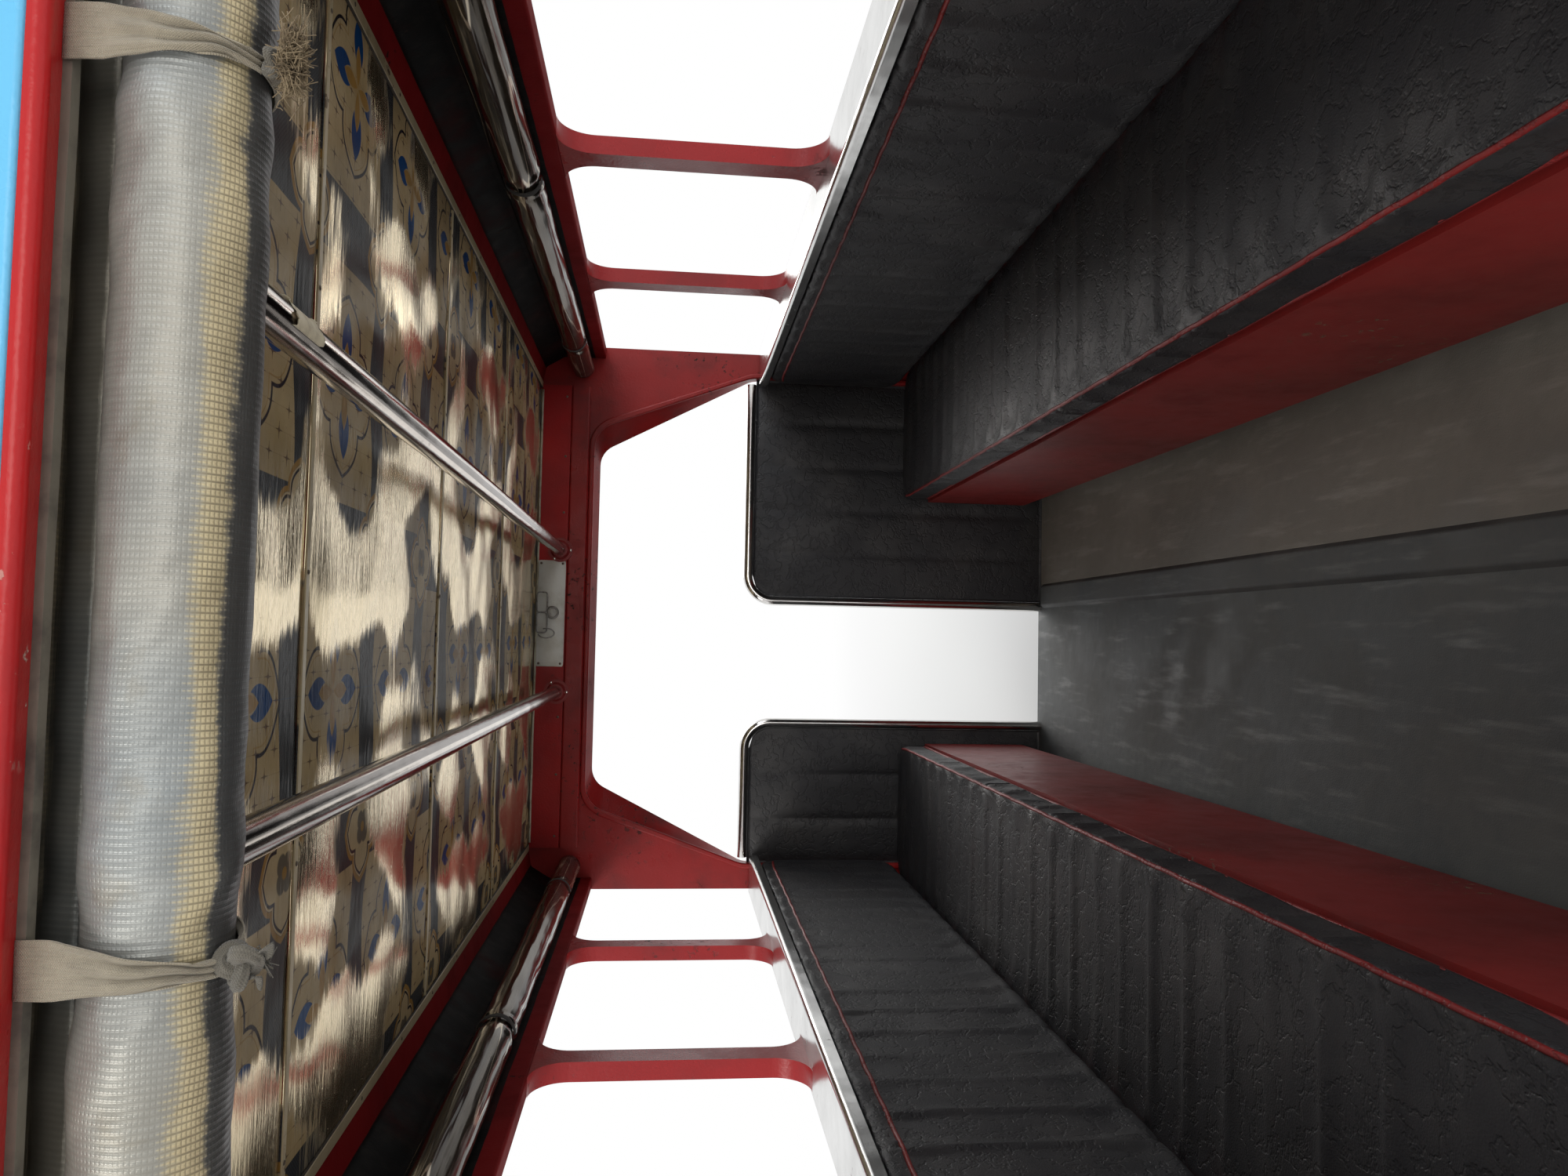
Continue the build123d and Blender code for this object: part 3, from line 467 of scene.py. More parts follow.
@dataclass(frozen=True)
class TileLining:
    """Glossy lining printed with a traditional tile: a four-lobed lozenge in a woven slate trellis."""

    name: str = "printed_lining"
    pitch: tuple[float, float] = (0.325, 0.255)
    lattice: float = 0.044
    ground: Colour = (0.34, 0.252, 0.126)
    pale: Colour = (0.45, 0.345, 0.190)
    slate: Colour = (0.040, 0.042, 0.044)
    ink: Colour = (0.022, 0.018, 0.024)
    blue: Colour = (0.010, 0.050, 0.155)
    gold: Colour = (0.30, 0.17, 0.045)
    brown: Colour = (0.085, 0.05, 0.035)
    soot: Colour = (0.075, 0.055, 0.038)
    # Painted highlight: a soft gold rim colour and the bright pale gold of the glossy spots
    painted_glow: Colour = (0.70, 0.50, 0.24)
    mirror: Colour = (1.0, 0.84, 0.56)

    @staticmethod
    def lobes(along: Value, aside: Value, size: float) -> Value:
        """Signed distance to a four-lobed outline, pointed on the axes and notched on the diagonals.

        A lobe keeps its half width up to a shoulder and closes to its tip by a power of the way
        there. What lies past that width is divided by the length of the outline's slope.

        Args:
            along: The greater of the two distances from the lozenge's middle.
            aside: The smaller of them.
            size: The outline's scale, 1 for a lozenge 0.194 m across.

        Returns:
            Metres outside the outline, negative inside.
        """
        half, shoulder, reach, sharp = 0.046 * size, 0.050 * size, 0.047 * size, 2.5
        way = ((along - shoulder) * (1 / reach)).most(0.0)
        slope = way.power(sharp - 1) * (sharp * half / reach)
        return (aside - (1 - way.power(sharp)) * half) / (slope * slope + 1).power(0.5)

    def build(self) -> bpy.types.Material:
        """Reads the panel's own map in metres, repeats it by cell and lays the print's inks in order."""
        shade = Shade(self.name, Source.UV)
        wide, deep = self.pitch[0] / 2, self.pitch[1] / 2
        far_x, far_y = abs(shade.x.wrap(wide)), abs(shade.y.wrap(deep))
        grain = shade.noise(5.0, 5.0, 0.6)
        colour = shade.blend(grain.step(0.35, 0.68), self.ground, self.pale)

        # Star crosses on a staggered lattice, and faint rules between them
        star_x, star_y = shade.x.fold(self.lattice), shade.y.fold(self.lattice)
        odd_x, odd_y = self.lattice / 2 - star_x, self.lattice / 2 - star_y
        near = (star_x * star_x + star_y * star_y).least(odd_x * odd_x + odd_y * odd_y).power(0.5)
        arms = (star_x * star_y).least(odd_x * odd_y).step(0.0000040, 0.0000008) * near.step(0.0088, 0.0072)
        rules = star_x.least(odd_x).step(0.0007, 0.0002) * 0.22
        colour = shade.blend(arms.most(rules) * 0.85, colour, self.brown)

        # Slate trellis: straight bands along the cabin, waving bands across it
        sway = (shade.x * (TURN / self.pitch[0]) + 0.8).sine() * 0.009
        upright = (wide - far_x).step(0.0375, 0.0365)
        across = abs((shade.y + sway + deep).wrap(deep)).step(0.0285, 0.0275)
        weave = ((shade.x * 1400.0).sine() * (shade.y * 1400.0).sine()).step(-0.4, 0.9)
        slate = shade.blend(weave * 0.5, self.slate, scaled(self.slate, 1.9))
        colour = shade.blend(upright.most(across), colour, slate)

        # Medallions where the bands cross
        mid_x, mid_y = wide - far_x, deep - far_y
        medal = self.lobes(mid_x.most(mid_y), mid_x.least(mid_y), 0.60)
        ring = (mid_x * mid_x + mid_y * mid_y).power(0.5)
        petals = (mid_x * mid_y * mid_x * mid_y).power(0.25) * 0.45
        colour = shade.layers(colour, (medal.step(0.0005, -0.0005), self.pale),
                              ((medal - 0.003).band(0.0026, 0.0006), self.gold),
                              ((medal + 0.004).band(0.0018, 0.0006), self.ink),
                              ((ring - petals - 0.015).step(0.001, -0.001) * 0.8, self.slate),
                              ((ring - 0.006).step(0.001, -0.001), self.gold))

        # Lozenges: ink outline, gold inner line, four blue leaves with gold hearts
        along, aside = far_x.most(far_y), far_x.least(far_y)
        lozenge = self.lobes(along, aside, 1.0)
        smoke = (along * 1.6 + aside * 9.0).step(0.16, 0.03) * grain.step(0.3, 0.6) * 0.75
        colour = shade.layers(colour, (lozenge.band(0.0019, 0.0006), self.ink),
                              ((lozenge + 0.0075).band(0.0008, 0.0005) * 0.6, self.gold), (smoke, self.gold))
        leaf = ((along - 0.019) * (1 / 0.060)).most(0.0).least(1.0)
        blue = (aside - leaf.power(0.8) * (1 - leaf).power(0.9) * 0.054).step(0.0006, -0.0006)
        heart = (along - 0.025) * (1 / 0.0225)
        heart = heart * heart
        gold = (aside - (1 - heart) * 0.0080).step(0.0008, -0.0008)
        halo = (aside - (1 - heart) * 0.0102).step(0.0008, -0.0008)
        colour = shade.layers(colour, (blue * leaf.step(0.0, 0.01), self.blue), (halo, self.ground),
                              (gold, self.gold))

        # Age: brown soot in clouds and specks
        soot = shade.noise(3.2, 6.0, 0.7).step(0.42, 0.72)
        specks = shade.noise(160.0, 2.0).step(0.70, 0.74) * 0.6
        colour = shade.layers(colour, (soot * 0.42, self.soot), (specks, self.brown))

        # Gloss with painted highlight: metallic spots where slow swells, drawn streaks and fine hairs add up,
        # tinted pale gold with a soft painted rim round them, and more of them in bands of painted reflection
        swells = shade.noise(4.8, 1.5, 0.4, (1.05, 0.95, 1.0), shade.vector(shade.x + 2.92, shade.y + 5.34))
        streaks = shade.noise(60.0, 4.0, 0.65, (0.22, 1.6, 1.0))
        hairs = shade.noise(190.0, 3.0, 0.6, (0.10, 1.4, 1.0))
        relief = shade.bump(swells, 0.020, shade.bump(streaks, 0.0009, shade.bump(hairs, 0.00016)))
        # Painted reflection: a sine across the cabin adds gloss in bands that run along it
        columns = (shade.x * (TURN / 0.31) + 3.5).sine() * 0.034
        sheen = swells + streaks * 0.13 + hairs * 0.11 + columns
        # Painted highlight: the glossy spots and a soft rim round them are tinted pale gold, besides their
        # metallic gloss
        glow_highlight, highlight_patches = sheen.step(0.600, 0.670), sheen.step(0.612, 0.668)
        colour = shade.layers(colour, (glow_highlight * 0.14, self.painted_glow), (highlight_patches * 0.88, self.mirror))
        rough = soot * 0.10 + specks * 0.2 + streaks * 0.08 + 0.12
        return shade.finish(Base_Color=colour, Metallic=(highlight_patches * 0.96).most(glow_highlight * 0.12), Roughness=rough,
                            Specular_IOR_Level=0.015, Normal=relief)


@dataclass(frozen=True)
class MeshVinyl:
    """Silver-grey vinyl over a woven scrim: raised ribs round the roll and finer lines along it."""

    name: str = "curtain_mesh"
    colour: Colour = (0.270, 0.262, 0.232)
    # Painted sheen: a bluish tint laid in clouds, more towards +X
    bluish_sheen: Colour = (0.250, 0.295, 0.330)
    stain: Colour = (0.24, 0.20, 0.13)
    # Paler in drawn streaks and on the rib tops: part wear, part painted highlight
    rubbed_and_sheen: Colour = (0.40, 0.40, 0.37)
    # Painted light: the pale gold laid on the roll's top
    dusty: Colour = (0.80, 0.66, 0.42)
    # Painted highlight: a golden band low on the roll's front
    highlight_belt: Colour = (0.64, 0.54, 0.325)
    # Painted shade: the dark colour of the roll's underside
    under: Colour = (0.072, 0.073, 0.073)
    # Grime, and painted shade, in the grooves between ribs
    soot: Colour = (0.105, 0.085, 0.06)
    rib: float = 0.0030

    def build(self) -> bpy.types.Material:
        """Ribs and lines are sines of the cloth's own map.

        The angle of the normal round the roll places painted light: a golden highlight band low in front,
        shade underneath, a pale top.
        """
        shade = Shade(self.name, Source.UV)
        _, outward, up = shade.normal()
        side = (-up).math("ARCTAN2", -outward)
        drift = shade.noise(9.0, 3.0) * 0.0012
        mottle = shade.noise(110.0, 4.0, 0.65)
        edge = side + shade.noise(3.0, 2.0, 0.5, (1.0, 0.2, 1.0)) * 0.3 + mottle * 0.30 - 0.30
        ribs = ((shade.x + drift) * (TURN / self.rib)).sine()
        lines = ((shade.y + drift) * (TURN / (self.rib * 0.68))).sine()
        # Grooves are darkened in colour: grime, with painted shade that is deepest in the painted highlight
        # band
        grooves = ribs.step(-0.30, -0.95).most(lines.step(-0.30, -0.95) * 0.7) * (mottle * 0.8 + 0.5)
        crowns = ribs.step(0.30, 1.0) * (lines * 0.25 + 0.75)
        # Painted shade: the roll's underside is darkened
        low = (edge - crowns * 0.05).step(1.00, 1.15) * side.step(3.1, 2.6)
        # Painted highlight: a golden band low on the roll's front
        highlight_belt = (edge + crowns * 0.10).step(0.56, 0.82) * (1 - low)
        marks = shade.noise(7.0, 5.0, 0.6)
        slanting = shade.vector(shade.x + shade.y * 0.8, shade.y * 0.6)
        pulls = shade.noise(5.0, 4.0, 0.55, (1.0, 0.5, 1.0), slanting)
        strokes = shade.noise(70.0, 4.0, 0.6, (1.0, 0.10, 1.0)).step(0.46, 0.66)
        # Painted sheen: clouds of a bluish tint, more of them towards +X
        tint = shade.noise(3.2, 3.0, 0.5, (1.0, 0.6, 1.0)) * 0.7 + shade.x * 0.17
        colour = shade.blend(marks.step(0.35, 0.7), self.colour, scaled(self.colour, 1.35))
        # Painted light: the roll's top is made paler, more on the rib tops
        painted_top_light = side.step(-1.06, -1.24) * side.step(-2.3, -1.9)
        colour = shade.layers(colour, (tint.step(0.40, 0.58) * 0.8, self.bluish_sheen),
                              (shade.noise(30.0, 4.0).step(0.58, 0.75) * 0.35, self.stain),
                              # Drawn streaks and rib tops made paler: part wear, part painted highlight
                              (strokes * 0.25 + crowns * 0.22, self.rubbed_and_sheen),
                              (painted_top_light * (crowns * 0.5 + 0.35), self.dusty), (highlight_belt * 0.88, self.highlight_belt),
                              (low * 0.90, self.under), (grooves * (highlight_belt * 0.55 + 0.13), self.soot))
        relief = shade.bump(marks, 0.004, shade.bump(pulls, 0.018))
        relief = shade.bump(crowns - grooves * 0.6, 0.00012, relief)
        rough = marks * 0.26 - crowns * 0.05 + 0.27
        return shade.finish(Base_Color=colour, Metallic=0.45, Roughness=rough, Specular_IOR_Level=0.35,
                            Normal=relief)


@dataclass(frozen=True)
class SmokeVinyl:
    """Rolled clear vinyl that looks smoke-dark in its layers, dusty on top."""

    name: str = "curtain_smoke"
    dark: Colour = (0.016, 0.012, 0.008)
    pale: Colour = (0.085, 0.064, 0.040)
    dust: Colour = (0.06, 0.052, 0.04)
    # Painted highlight: the pale colour of thin crease lines
    crease: Colour = (0.62, 0.54, 0.42)

    def build(self) -> bpy.types.Material:
        """Dark brown-black layers with draw lines along the roll, painted highlights along thin crease lines,
        dust and a wet gloss.
        """
        shade = Shade(self.name, Source.UV)
        draw = shade.noise(6.0, 3.0, 0.5, (0.30, 6.0, 1.0))
        dust = shade.noise(12.0, 6.0, 0.7).step(0.56, 0.80) * 0.30
        # Painted highlight along thin crease lines
        creases = abs(shade.noise(4.0, 2.0, 0.5, (0.22, 5.0, 1.0)) - 0.5).step(0.011, 0.003)
        colour = shade.blend(draw.step(0.35, 0.7), self.dark, self.pale)
        colour = shade.layers(colour, (dust, self.dust), (creases * 0.8, self.crease))
        relief = shade.bump(draw, 0.003, shade.bump(shade.noise(3.0, 2.0), 0.006))
        return shade.finish(Base_Color=colour, Metallic=0.6, Roughness=dust * 0.5 + draw * 0.08 + 0.10,
                            Specular_IOR_Level=0.18, Normal=relief)


@dataclass(frozen=True)
class Upholstery:
    """Vinyl leather: pebble grain, worn sheen on the crowns and fine creases."""

    name: str
    colour: Colour
    worn: Colour

    def build(self) -> bpy.types.Material:
        """Voronoi pebbles for grain, ridged noise for creases and clouds for wear."""
        shade = Shade(self.name)
        pebble = shade.cells(520.0, "SMOOTH_F1")
        wear = shade.noise(6.0, 5.0, 0.6).step(0.4, 0.7)
        creases = abs(shade.noise(26.0, 4.0, 0.6) - 0.5).step(0.05, 0.0)
        colour = shade.layers(self.colour, (wear * 0.7, self.worn),
                              (creases * 0.35, scaled(self.colour, 0.5)))
        relief = shade.bump(pebble, 0.0003, shade.bump(1 - creases, 0.0006))
        return shade.finish(Base_Color=colour, Roughness=0.46 - wear * 0.12 + pebble * 0.15,
                            Specular_IOR_Level=0.45, Normal=relief)


@dataclass(frozen=True)
class ClothTape:
    """Cotton tape: plain weave read from the strip's own map, greyed by handling."""

    name: str = "tie_cloth"
    colour: Colour = (0.375, 0.325, 0.240)
    threads: tuple[float, float] = (0.0013, 0.0010)

    def build(self) -> bpy.types.Material:
        """Threads are two crossed sines of the strip's map, with fuzz and grime in clouds."""
        shade = Shade(self.name, Source.UV)
        drift = shade.noise(40.0, 2.0) * 0.0008
        warp, weft = self.threads
        weave = ((shade.x + drift) * (TURN / warp)).sine() * ((shade.y + drift) * (TURN / weft)).sine()
        grime = shade.noise(28.0, 5.0, 0.65)
        fuzz = shade.noise(150.0, 3.0, 0.6, (6.0, 0.35, 1.0))
        colour = shade.layers(self.colour, (grime.step(0.35, 0.7), scaled(self.colour, 0.70)),
                              (fuzz.step(0.45, 0.70) * 0.35, scaled(self.colour, 0.5)),
                              (weave.step(0.0, -1.0) * 0.4, scaled(self.colour, 0.45)))
        relief = shade.bump(weave * 0.5 + 0.5, 0.0003, shade.bump(fuzz, 0.0007, shade.bump(grime, 0.0012)))
        return shade.finish(Base_Color=colour, Roughness=0.88, Sheen_Weight=0.25, Normal=relief)


@dataclass(frozen=True)
class Plain:
    """A small part in paint, rubber or plastic, with mottling and fine texture."""

    name: str
    colour: Colour
    dark: Colour
    rough: float = 0.5
    scale: float = 40.0
    metal: float = 0.0
    relief: float = 0.0003

    def build(self) -> bpy.types.Material:
        """Two colours in fractal clouds, with roughness and relief to match."""
        shade = Shade(self.name)
        clouds = shade.noise(self.scale, 5.0, 0.62)
        fine = shade.noise(self.scale * 7.0, 2.0)
        colour = shade.blend(clouds.step(0.42, 0.72), self.colour, self.dark)
        rough = clouds * 0.25 + (self.rough - 0.12)
        return shade.finish(Base_Color=colour, Metallic=self.metal, Roughness=rough,
                            Normal=shade.bump(fine, self.relief))


@dataclass(frozen=True)
class LampLens:
    """Moulded red lens: concentric ribs and a deep gloss."""

    name: str = "lamp_lens"
    edge: float = 0.048
    rib: float = 0.006
    deep: Colour = (0.30, 0.008, 0.008)
    bright: Colour = (0.52, 0.02, 0.015)

    def build(self) -> bpy.types.Material:
        """Ribs are a sine of the distance from each lamp's middle, which lies on either side."""
        shade = Shade(self.name)
        low, high = edges_of("rear_lamps")
        dx, dz = abs(shade.x) - (float(high[0]) - self.edge), shade.z - float((low[2] + high[2]) / 2)
        ribs = ((dx * dx + dz * dz).power(0.5) * (TURN / self.rib)).sine()
        colour = shade.blend(ribs * 0.5 + 0.5, self.deep, self.bright)
        return shade.finish(Base_Color=colour, Roughness=0.12 + shade.noise(50.0) * 0.1, Coat_Weight=0.8,
                            Coat_Roughness=0.05, Normal=shade.bump(ribs, 0.0012))


def quads(rows: int, columns: int, *, round_rows: bool = False, round_columns: bool = False) -> Array:
    """Faces of a grid of points, four indices each.

    Args:
        rows: Points along the first parameter.
        columns: Points along the second.
        round_rows: Joins the last row to the first.
        round_columns: Joins the last column to the first.

    Returns:
        An array of faces; point (i, j) has the index i * columns + j.
    """
    i = np.arange(rows if round_rows else rows - 1)[:, None]
    j = np.arange(columns if round_columns else columns - 1)[None, :]
    i2, j2 = (i + 1) % rows, (j + 1) % columns
    corners = [i * columns + j, i * columns + j2, i2 * columns + j2, i2 * columns + j]
    return np.stack([np.broadcast_to(c, (i.size, j.size)).ravel() for c in corners], axis=1)


def capped(rows: int, columns: int) -> list[list[int]]:
    """Faces of closed sections joined in order, with a flat face at each end."""
    faces = quads(rows, columns, round_columns=True).tolist()
    return faces + [list(range(columns))[::-1], [(rows - 1) * columns + k for k in range(columns)]]


def waves(seed: int, lengths: Sequence[float], *places: Array) -> Array:
    """Smooth seeded ripple from -1 to 1: the mean of sines with random headings.

    Args:
        seed: Makes the draw repeatable.
        lengths: A wavelength for each sine, in metres.
        places: One, two or three coordinate arrays of one shape.

    Returns:
        The ripple at each place.
    """
    draw = np.random.default_rng(seed)
    total = 0.0
    for length in lengths:
        heading = unit(draw.normal(size=len(places)))
        total = total + np.sin(sum(h * p for h, p in zip(heading, places)) * (TURN / length)
                               + draw.uniform(0, TURN))
    return total / len(lengths)


class Mesh:
    """Points, faces and map of one piece, gathered before Blender sees them."""

    def __init__(self) -> None:
        self.points: list[Array] = []
        self.faces: list[list[int]] = []
        self.maps: list[Array] = []
        self.count = 0

    def add(self, points: Array, faces: Union[Array, list[list[int]]], uv: Optional[Array] = None) -> "Mesh":
        """Adds a surface.

        Args:
            points: Its points, any shape that ends in 3.
            faces: Index lists into those points.
            uv: The map, one pair a point, in metres.

        Returns:
            This mesh, so that calls can be chained.
        """
        flat = np.asarray(points, float).reshape(-1, 3)
        rows = faces.tolist() if isinstance(faces, np.ndarray) else faces
        self.faces += [[k + self.count for k in row] for row in rows] if self.count else rows
        self.points.append(flat)
        self.maps.append(np.zeros((len(flat), 2)) if uv is None else np.asarray(uv, float).reshape(-1, 2))
        self.count += len(flat)
        return self

    def loft(self, sections: Array, uv: Optional[Array] = None) -> "Mesh":
        """Adds closed sections (rows of points) joined in order, with flat ends."""
        return self.add(sections, capped(*sections.shape[:2]), uv)

    def tube(self, path: Array, radius: Any, sides: int = 8, up: Any = (0.0, 0.0, 1.0)) -> "Mesh":
        """Adds a tube: circles of a radius about the path, turned by its tangent and a hint.

        Args:
            path: The points that it follows.
            radius: One number, or one a point.
            sides: Points round each circle.
            up: A direction, or one a point, that never lies along the path.

        Returns:
            This mesh.
        """
        tangent = unit(np.gradient(path, axis=0))
        side = unit(np.cross(tangent, np.broadcast_to(np.asarray(up, float), path.shape)))
        over = np.cross(side, tangent)
        angle = np.linspace(0, TURN, sides, endpoint=False)
        reach = np.broadcast_to(np.asarray(radius, float), (len(path),))[:, None, None]
        ring = path[:, None] + reach * (np.cos(angle)[None, :, None] * side[:, None]
                                        + np.sin(angle)[None, :, None] * over[:, None])
        return self.loft(ring, together(angle[None] * float(np.mean(reach)), run_along(path)[:, None]))

    def turned(self, profile: Array, centres: Any, axis: Any, sides: int = 12) -> "Mesh":
        """Adds copies of a turned piece: a profile of (radius, height) spun about an axis at each centre."""
        axis = unit(np.asarray(axis, float))
        side = unit(np.cross(axis, (0.31, 0.87, 0.13)))
        angle = np.linspace(0, TURN, sides, endpoint=False)
        spin = np.cos(angle)[:, None] * side + np.sin(angle)[:, None] * np.cross(axis, side)
        local = profile[:, 0][:, None, None] * spin[None] + profile[:, 1][:, None, None] * axis
        for centre in np.atleast_2d(centres):
            self.loft(local + centre)
        return self

    def piece(self, name: str, finish: bpy.types.Material, slot: str, *, replaces: Sequence[str] = (),
              sheet: float = 0.0, smooth: bool = True) -> bpy.types.Object:
        """Makes the Blender object, hangs it on the one body and hides the CAD nodes that it replaces.

        Args:
            name: The piece's name.
            finish: Its material.
            slot: A material slot's name; not used.
            replaces: CAD nodes that it stands for.
            sheet: A thickness for Solidify, or 0.
            smooth: Shades its faces smooth.

        Returns:
            The object, which rides on the one body.
        """
        points = np.concatenate(self.points)
        data = bpy.data.meshes.new(name)
        data.from_pydata(points, [], self.faces)
        corner = np.zeros(len(data.loops), np.int32)
        data.loops.foreach_get("vertex_index", corner)
        layer = data.uv_layers.new(name="flat")
        layer.data.foreach_set("uv", np.concatenate(self.maps)[corner].astype(np.float32).ravel())
        data.polygons.foreach_set("use_smooth", np.full(len(data.polygons), smooth))
        data.materials.append(finish)
        data.validate()
        data.update()
        made = placed(name, data)
        if sheet:
            solid = made.modifiers.new("thickness", "SOLIDIFY")
            solid.thickness, solid.offset = sheet, 0.0
        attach(made, "root")
        if replaces:
            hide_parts(*replaces)
        LOG.info("%s: %d points, %d faces", name, len(points), len(self.faces))
        return made


def dome(radius: float, height: float) -> Array:
    """Profile of a low domed head, from its edge up to its middle."""
    t = np.linspace(0, math.pi / 2, 5)
    return together(radius * np.cos(t) + 1e-5, height * np.sin(t))


def rounded(half_x: float, half_y: float, power: float, count: int) -> Array:
    """Superellipse: |x/a| and |y/b| to a power add up to one; a high power is a rounded box."""
    t = np.linspace(0, TURN, count, endpoint=False)
    return together(half_x * squared(np.cos(t), 2 / power), half_y * squared(np.sin(t), 2 / power))


def dress(looks: Looks, **nodes: str) -> None:
    """Gives CAD nodes their finishes.

    Args:
        looks: The finishes by name.
        nodes: For a finish's name, the nodes that take it, in one text.
    """
    for look, names in nodes.items():
        for name in names.split():
            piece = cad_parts[name]
            if not piece.material_slots:
                piece.data.materials.append(looks[look])
            for slot in piece.material_slots:
                slot.material = looks[look]
            LOG.info("%s: %s", name, looks[look].name)


@dataclass
class Ceiling:
    """Printed lining in four wavy panels, with battens, mouldings and their nails."""

    sag: float = 0.0042
    thickness: float = 0.0022
    grid: tuple[int, int] = (150, 70)
    seams: tuple[float, ...] = (-1.050, -0.490, 0.120, 0.730, 1.340)
    starts: Outline = ((-0.120, -0.638), (-0.120, -0.383), (-0.090, 0.300), (-0.075, 0.920))
    nail_rows: tuple[float, ...] = (-0.4805, 0.1295, 0.7395)
    nail_edge: float = 0.610
    nail_pitch: tuple[float, float] = (0.280, 0.194)

    def panels(self, finish: bpy.types.Material) -> None:
        """Each panel hangs by a product of sines that is zero at its edges, times a seeded ripple."""
        low, high = edges_of("ceiling_panels")
        mesh = Mesh()
        for index, (rear, front, start) in enumerate(zip(self.seams, self.seams[1:], self.starts)):
            u, v = np.meshgrid(np.linspace(low[0] + 0.0005, high[0] - 0.0005, self.grid[0]),
                               np.linspace(rear + 0.005, front, self.grid[1]), indexing="ij")
            hang = np.sin(math.pi * (v - rear) / (front - rear)) ** 0.5
            hang = hang * np.clip((high[0] - np.abs(u)) / 0.05, 0, 1)
            ripple = waves(11 + index, (0.55, 0.42, 0.30, 0.21, 0.16, 0.12), u, v * 1.7)
            edge = 0.0012 * waves(31 + index, (0.5, 0.33, 0.21), u) * (1 - hang)
            z = low[2] + 0.0016 - self.sag * hang * (0.45 + 0.55 * ripple) + edge
            mesh.add(together(u, v, z), quads(*u.shape)[:, ::-1], together(u - start[0], v - start[1]))
        mesh.piece("ceiling_lining", finish, "lining_print", replaces=["ceiling_panels"],
                   sheet=self.thickness)

    def build(self, looks: Looks) -> None:
        """Makes the panels, a dark strip of grime and painted shadow in the joint beside each moulding, and
        the front bead, and dresses the trim.
        """
        self.panels(looks["lining"])
        dress(looks, cream="ceiling_battens ceiling_mouldings")
        self.joints(looks)
        x, y = np.arange(-0.56, 0.57, self.nail_pitch[0]), np.arange(-0.990, 1.32, self.nail_pitch[1])
        rows = [together(x, row, 1.5643) for row in self.nail_rows]
        sides = [together(way * self.nail_edge, y, 1.5637) for way in (-1, 1)]
        Mesh().turned(dome(0.0026, 0.0011), np.concatenate(rows + sides), (0, 0, -1), 10).piece(
            "lining_nails", looks["rust"], "runner_paint")

    @staticmethod
    def joints(looks: Looks) -> None:
        """Dark line of grime and painted shadow, of uneven width, along each side moulding, and a thin bead
        along the header board.
        """
        low, high = edges_of("ceiling_mouldings")
        y = np.linspace(low[1] + 0.002, high[1] - 0.002, 420)
        inner = high[0] - 0.0160
        drop = low[2] + np.array([0.0010, 0.0003, 0.0022])
        for side, way in (("right", 1.0), ("left", -1.0)):
            # A dark strip in the joint: grime, and painted shadow
            width = 0.0030 + 0.0012 * waves(21 + int(way), (0.31, 0.17, 0.09, 0.05), y)
            across = together(inner, inner - 0.5 * width, inner - width) * way
            faces = quads(y.size, 3)
            Mesh().add(together(across, y[:, None], drop), faces if way > 0 else faces[:, ::-1]).piece(
                f"lining_dirt_and_shadow_{side}", looks["dirt_and_shadow"], "runner_paint", sheet=0.0006)
        x = np.linspace(-0.596, 0.596, 90)
        front = edges_of("bulkhead_header_board")[0][1]
        bead = together(x, front - 0.0032, low[2] - 0.0006 + 0.0006 * waves(9, (0.4, 0.21, 0.13), x))
        Mesh().tube(bead, 0.0030, 10).piece("front_bead", looks["bead"], "cream_trim")


@dataclass
class Handrails:
    """Two polished tubes, with the strip of tape wound on the right one and screws in the cups."""

    tape: tuple[float, float] = (-0.766, -0.706)
    tape_radius: float = 0.0163
    tape_angles: tuple[float, float] = (-1.95, -0.15)
    screw_circle: float = 0.0272

    def build(self, looks: Looks) -> None:
        """Dresses the rails, winds the tape and sets three screws in each cup."""
        dress(looks, rail="handrail_left handrail_right")
        self.strip(looks["tape"])
        turn = np.linspace(0.5, 0.5 + TURN, 3, endpoint=False)
        ring = together(np.cos(turn), 0, np.sin(turn)) * self.screw_circle
        mesh = Mesh()
        for node in ("handrail_left", "handrail_right"):
            low, high = edges_of(node)
            for y in (low[1] + 0.004, high[1] - 0.004):
                middle = np.array([(low[0] + high[0]) / 2, y, (low[2] + high[2]) / 2])
                mesh.turned(dome(0.0032, 0.0018), middle + ring, (0, 1.0 if y < 0 else -1.0, 0), 10)
        mesh.piece("cup_screws", looks["tube"], "bright_tube")

    def strip(self, finish: bpy.types.Material) -> None:
        """The tape is part of a cylinder just proud of the tube, with ragged ends that curl off it."""
        low, high = edges_of("handrail_right")
        x, z = (low[0] + high[0]) / 2, (low[2] + high[2]) / 2
        angle, along = np.meshgrid(np.linspace(*self.tape_angles, 20), np.linspace(0, 1, 34), indexing="ij")
        start, stop = self.tape
        ragged = 0.006 * waves(5, (1.1, 0.6, 0.3), angle) * np.abs(2 * along - 1) ** 3
        y = start + (stop - start) * along + ragged
        curl = 0.022 * np.clip(np.abs(2 * along - 1) - 0.9, 0, 1) * np.sin(angle * 3) ** 2
        radius = self.tape_radius + curl
        points = together(x + radius * np.cos(angle), y, z + radius * np.sin(angle))
        Mesh().add(points, quads(*angle.shape), together(angle * 0.016, y)).piece(
            "rail_tape", finish, "cream_trim", sheet=0.0003)


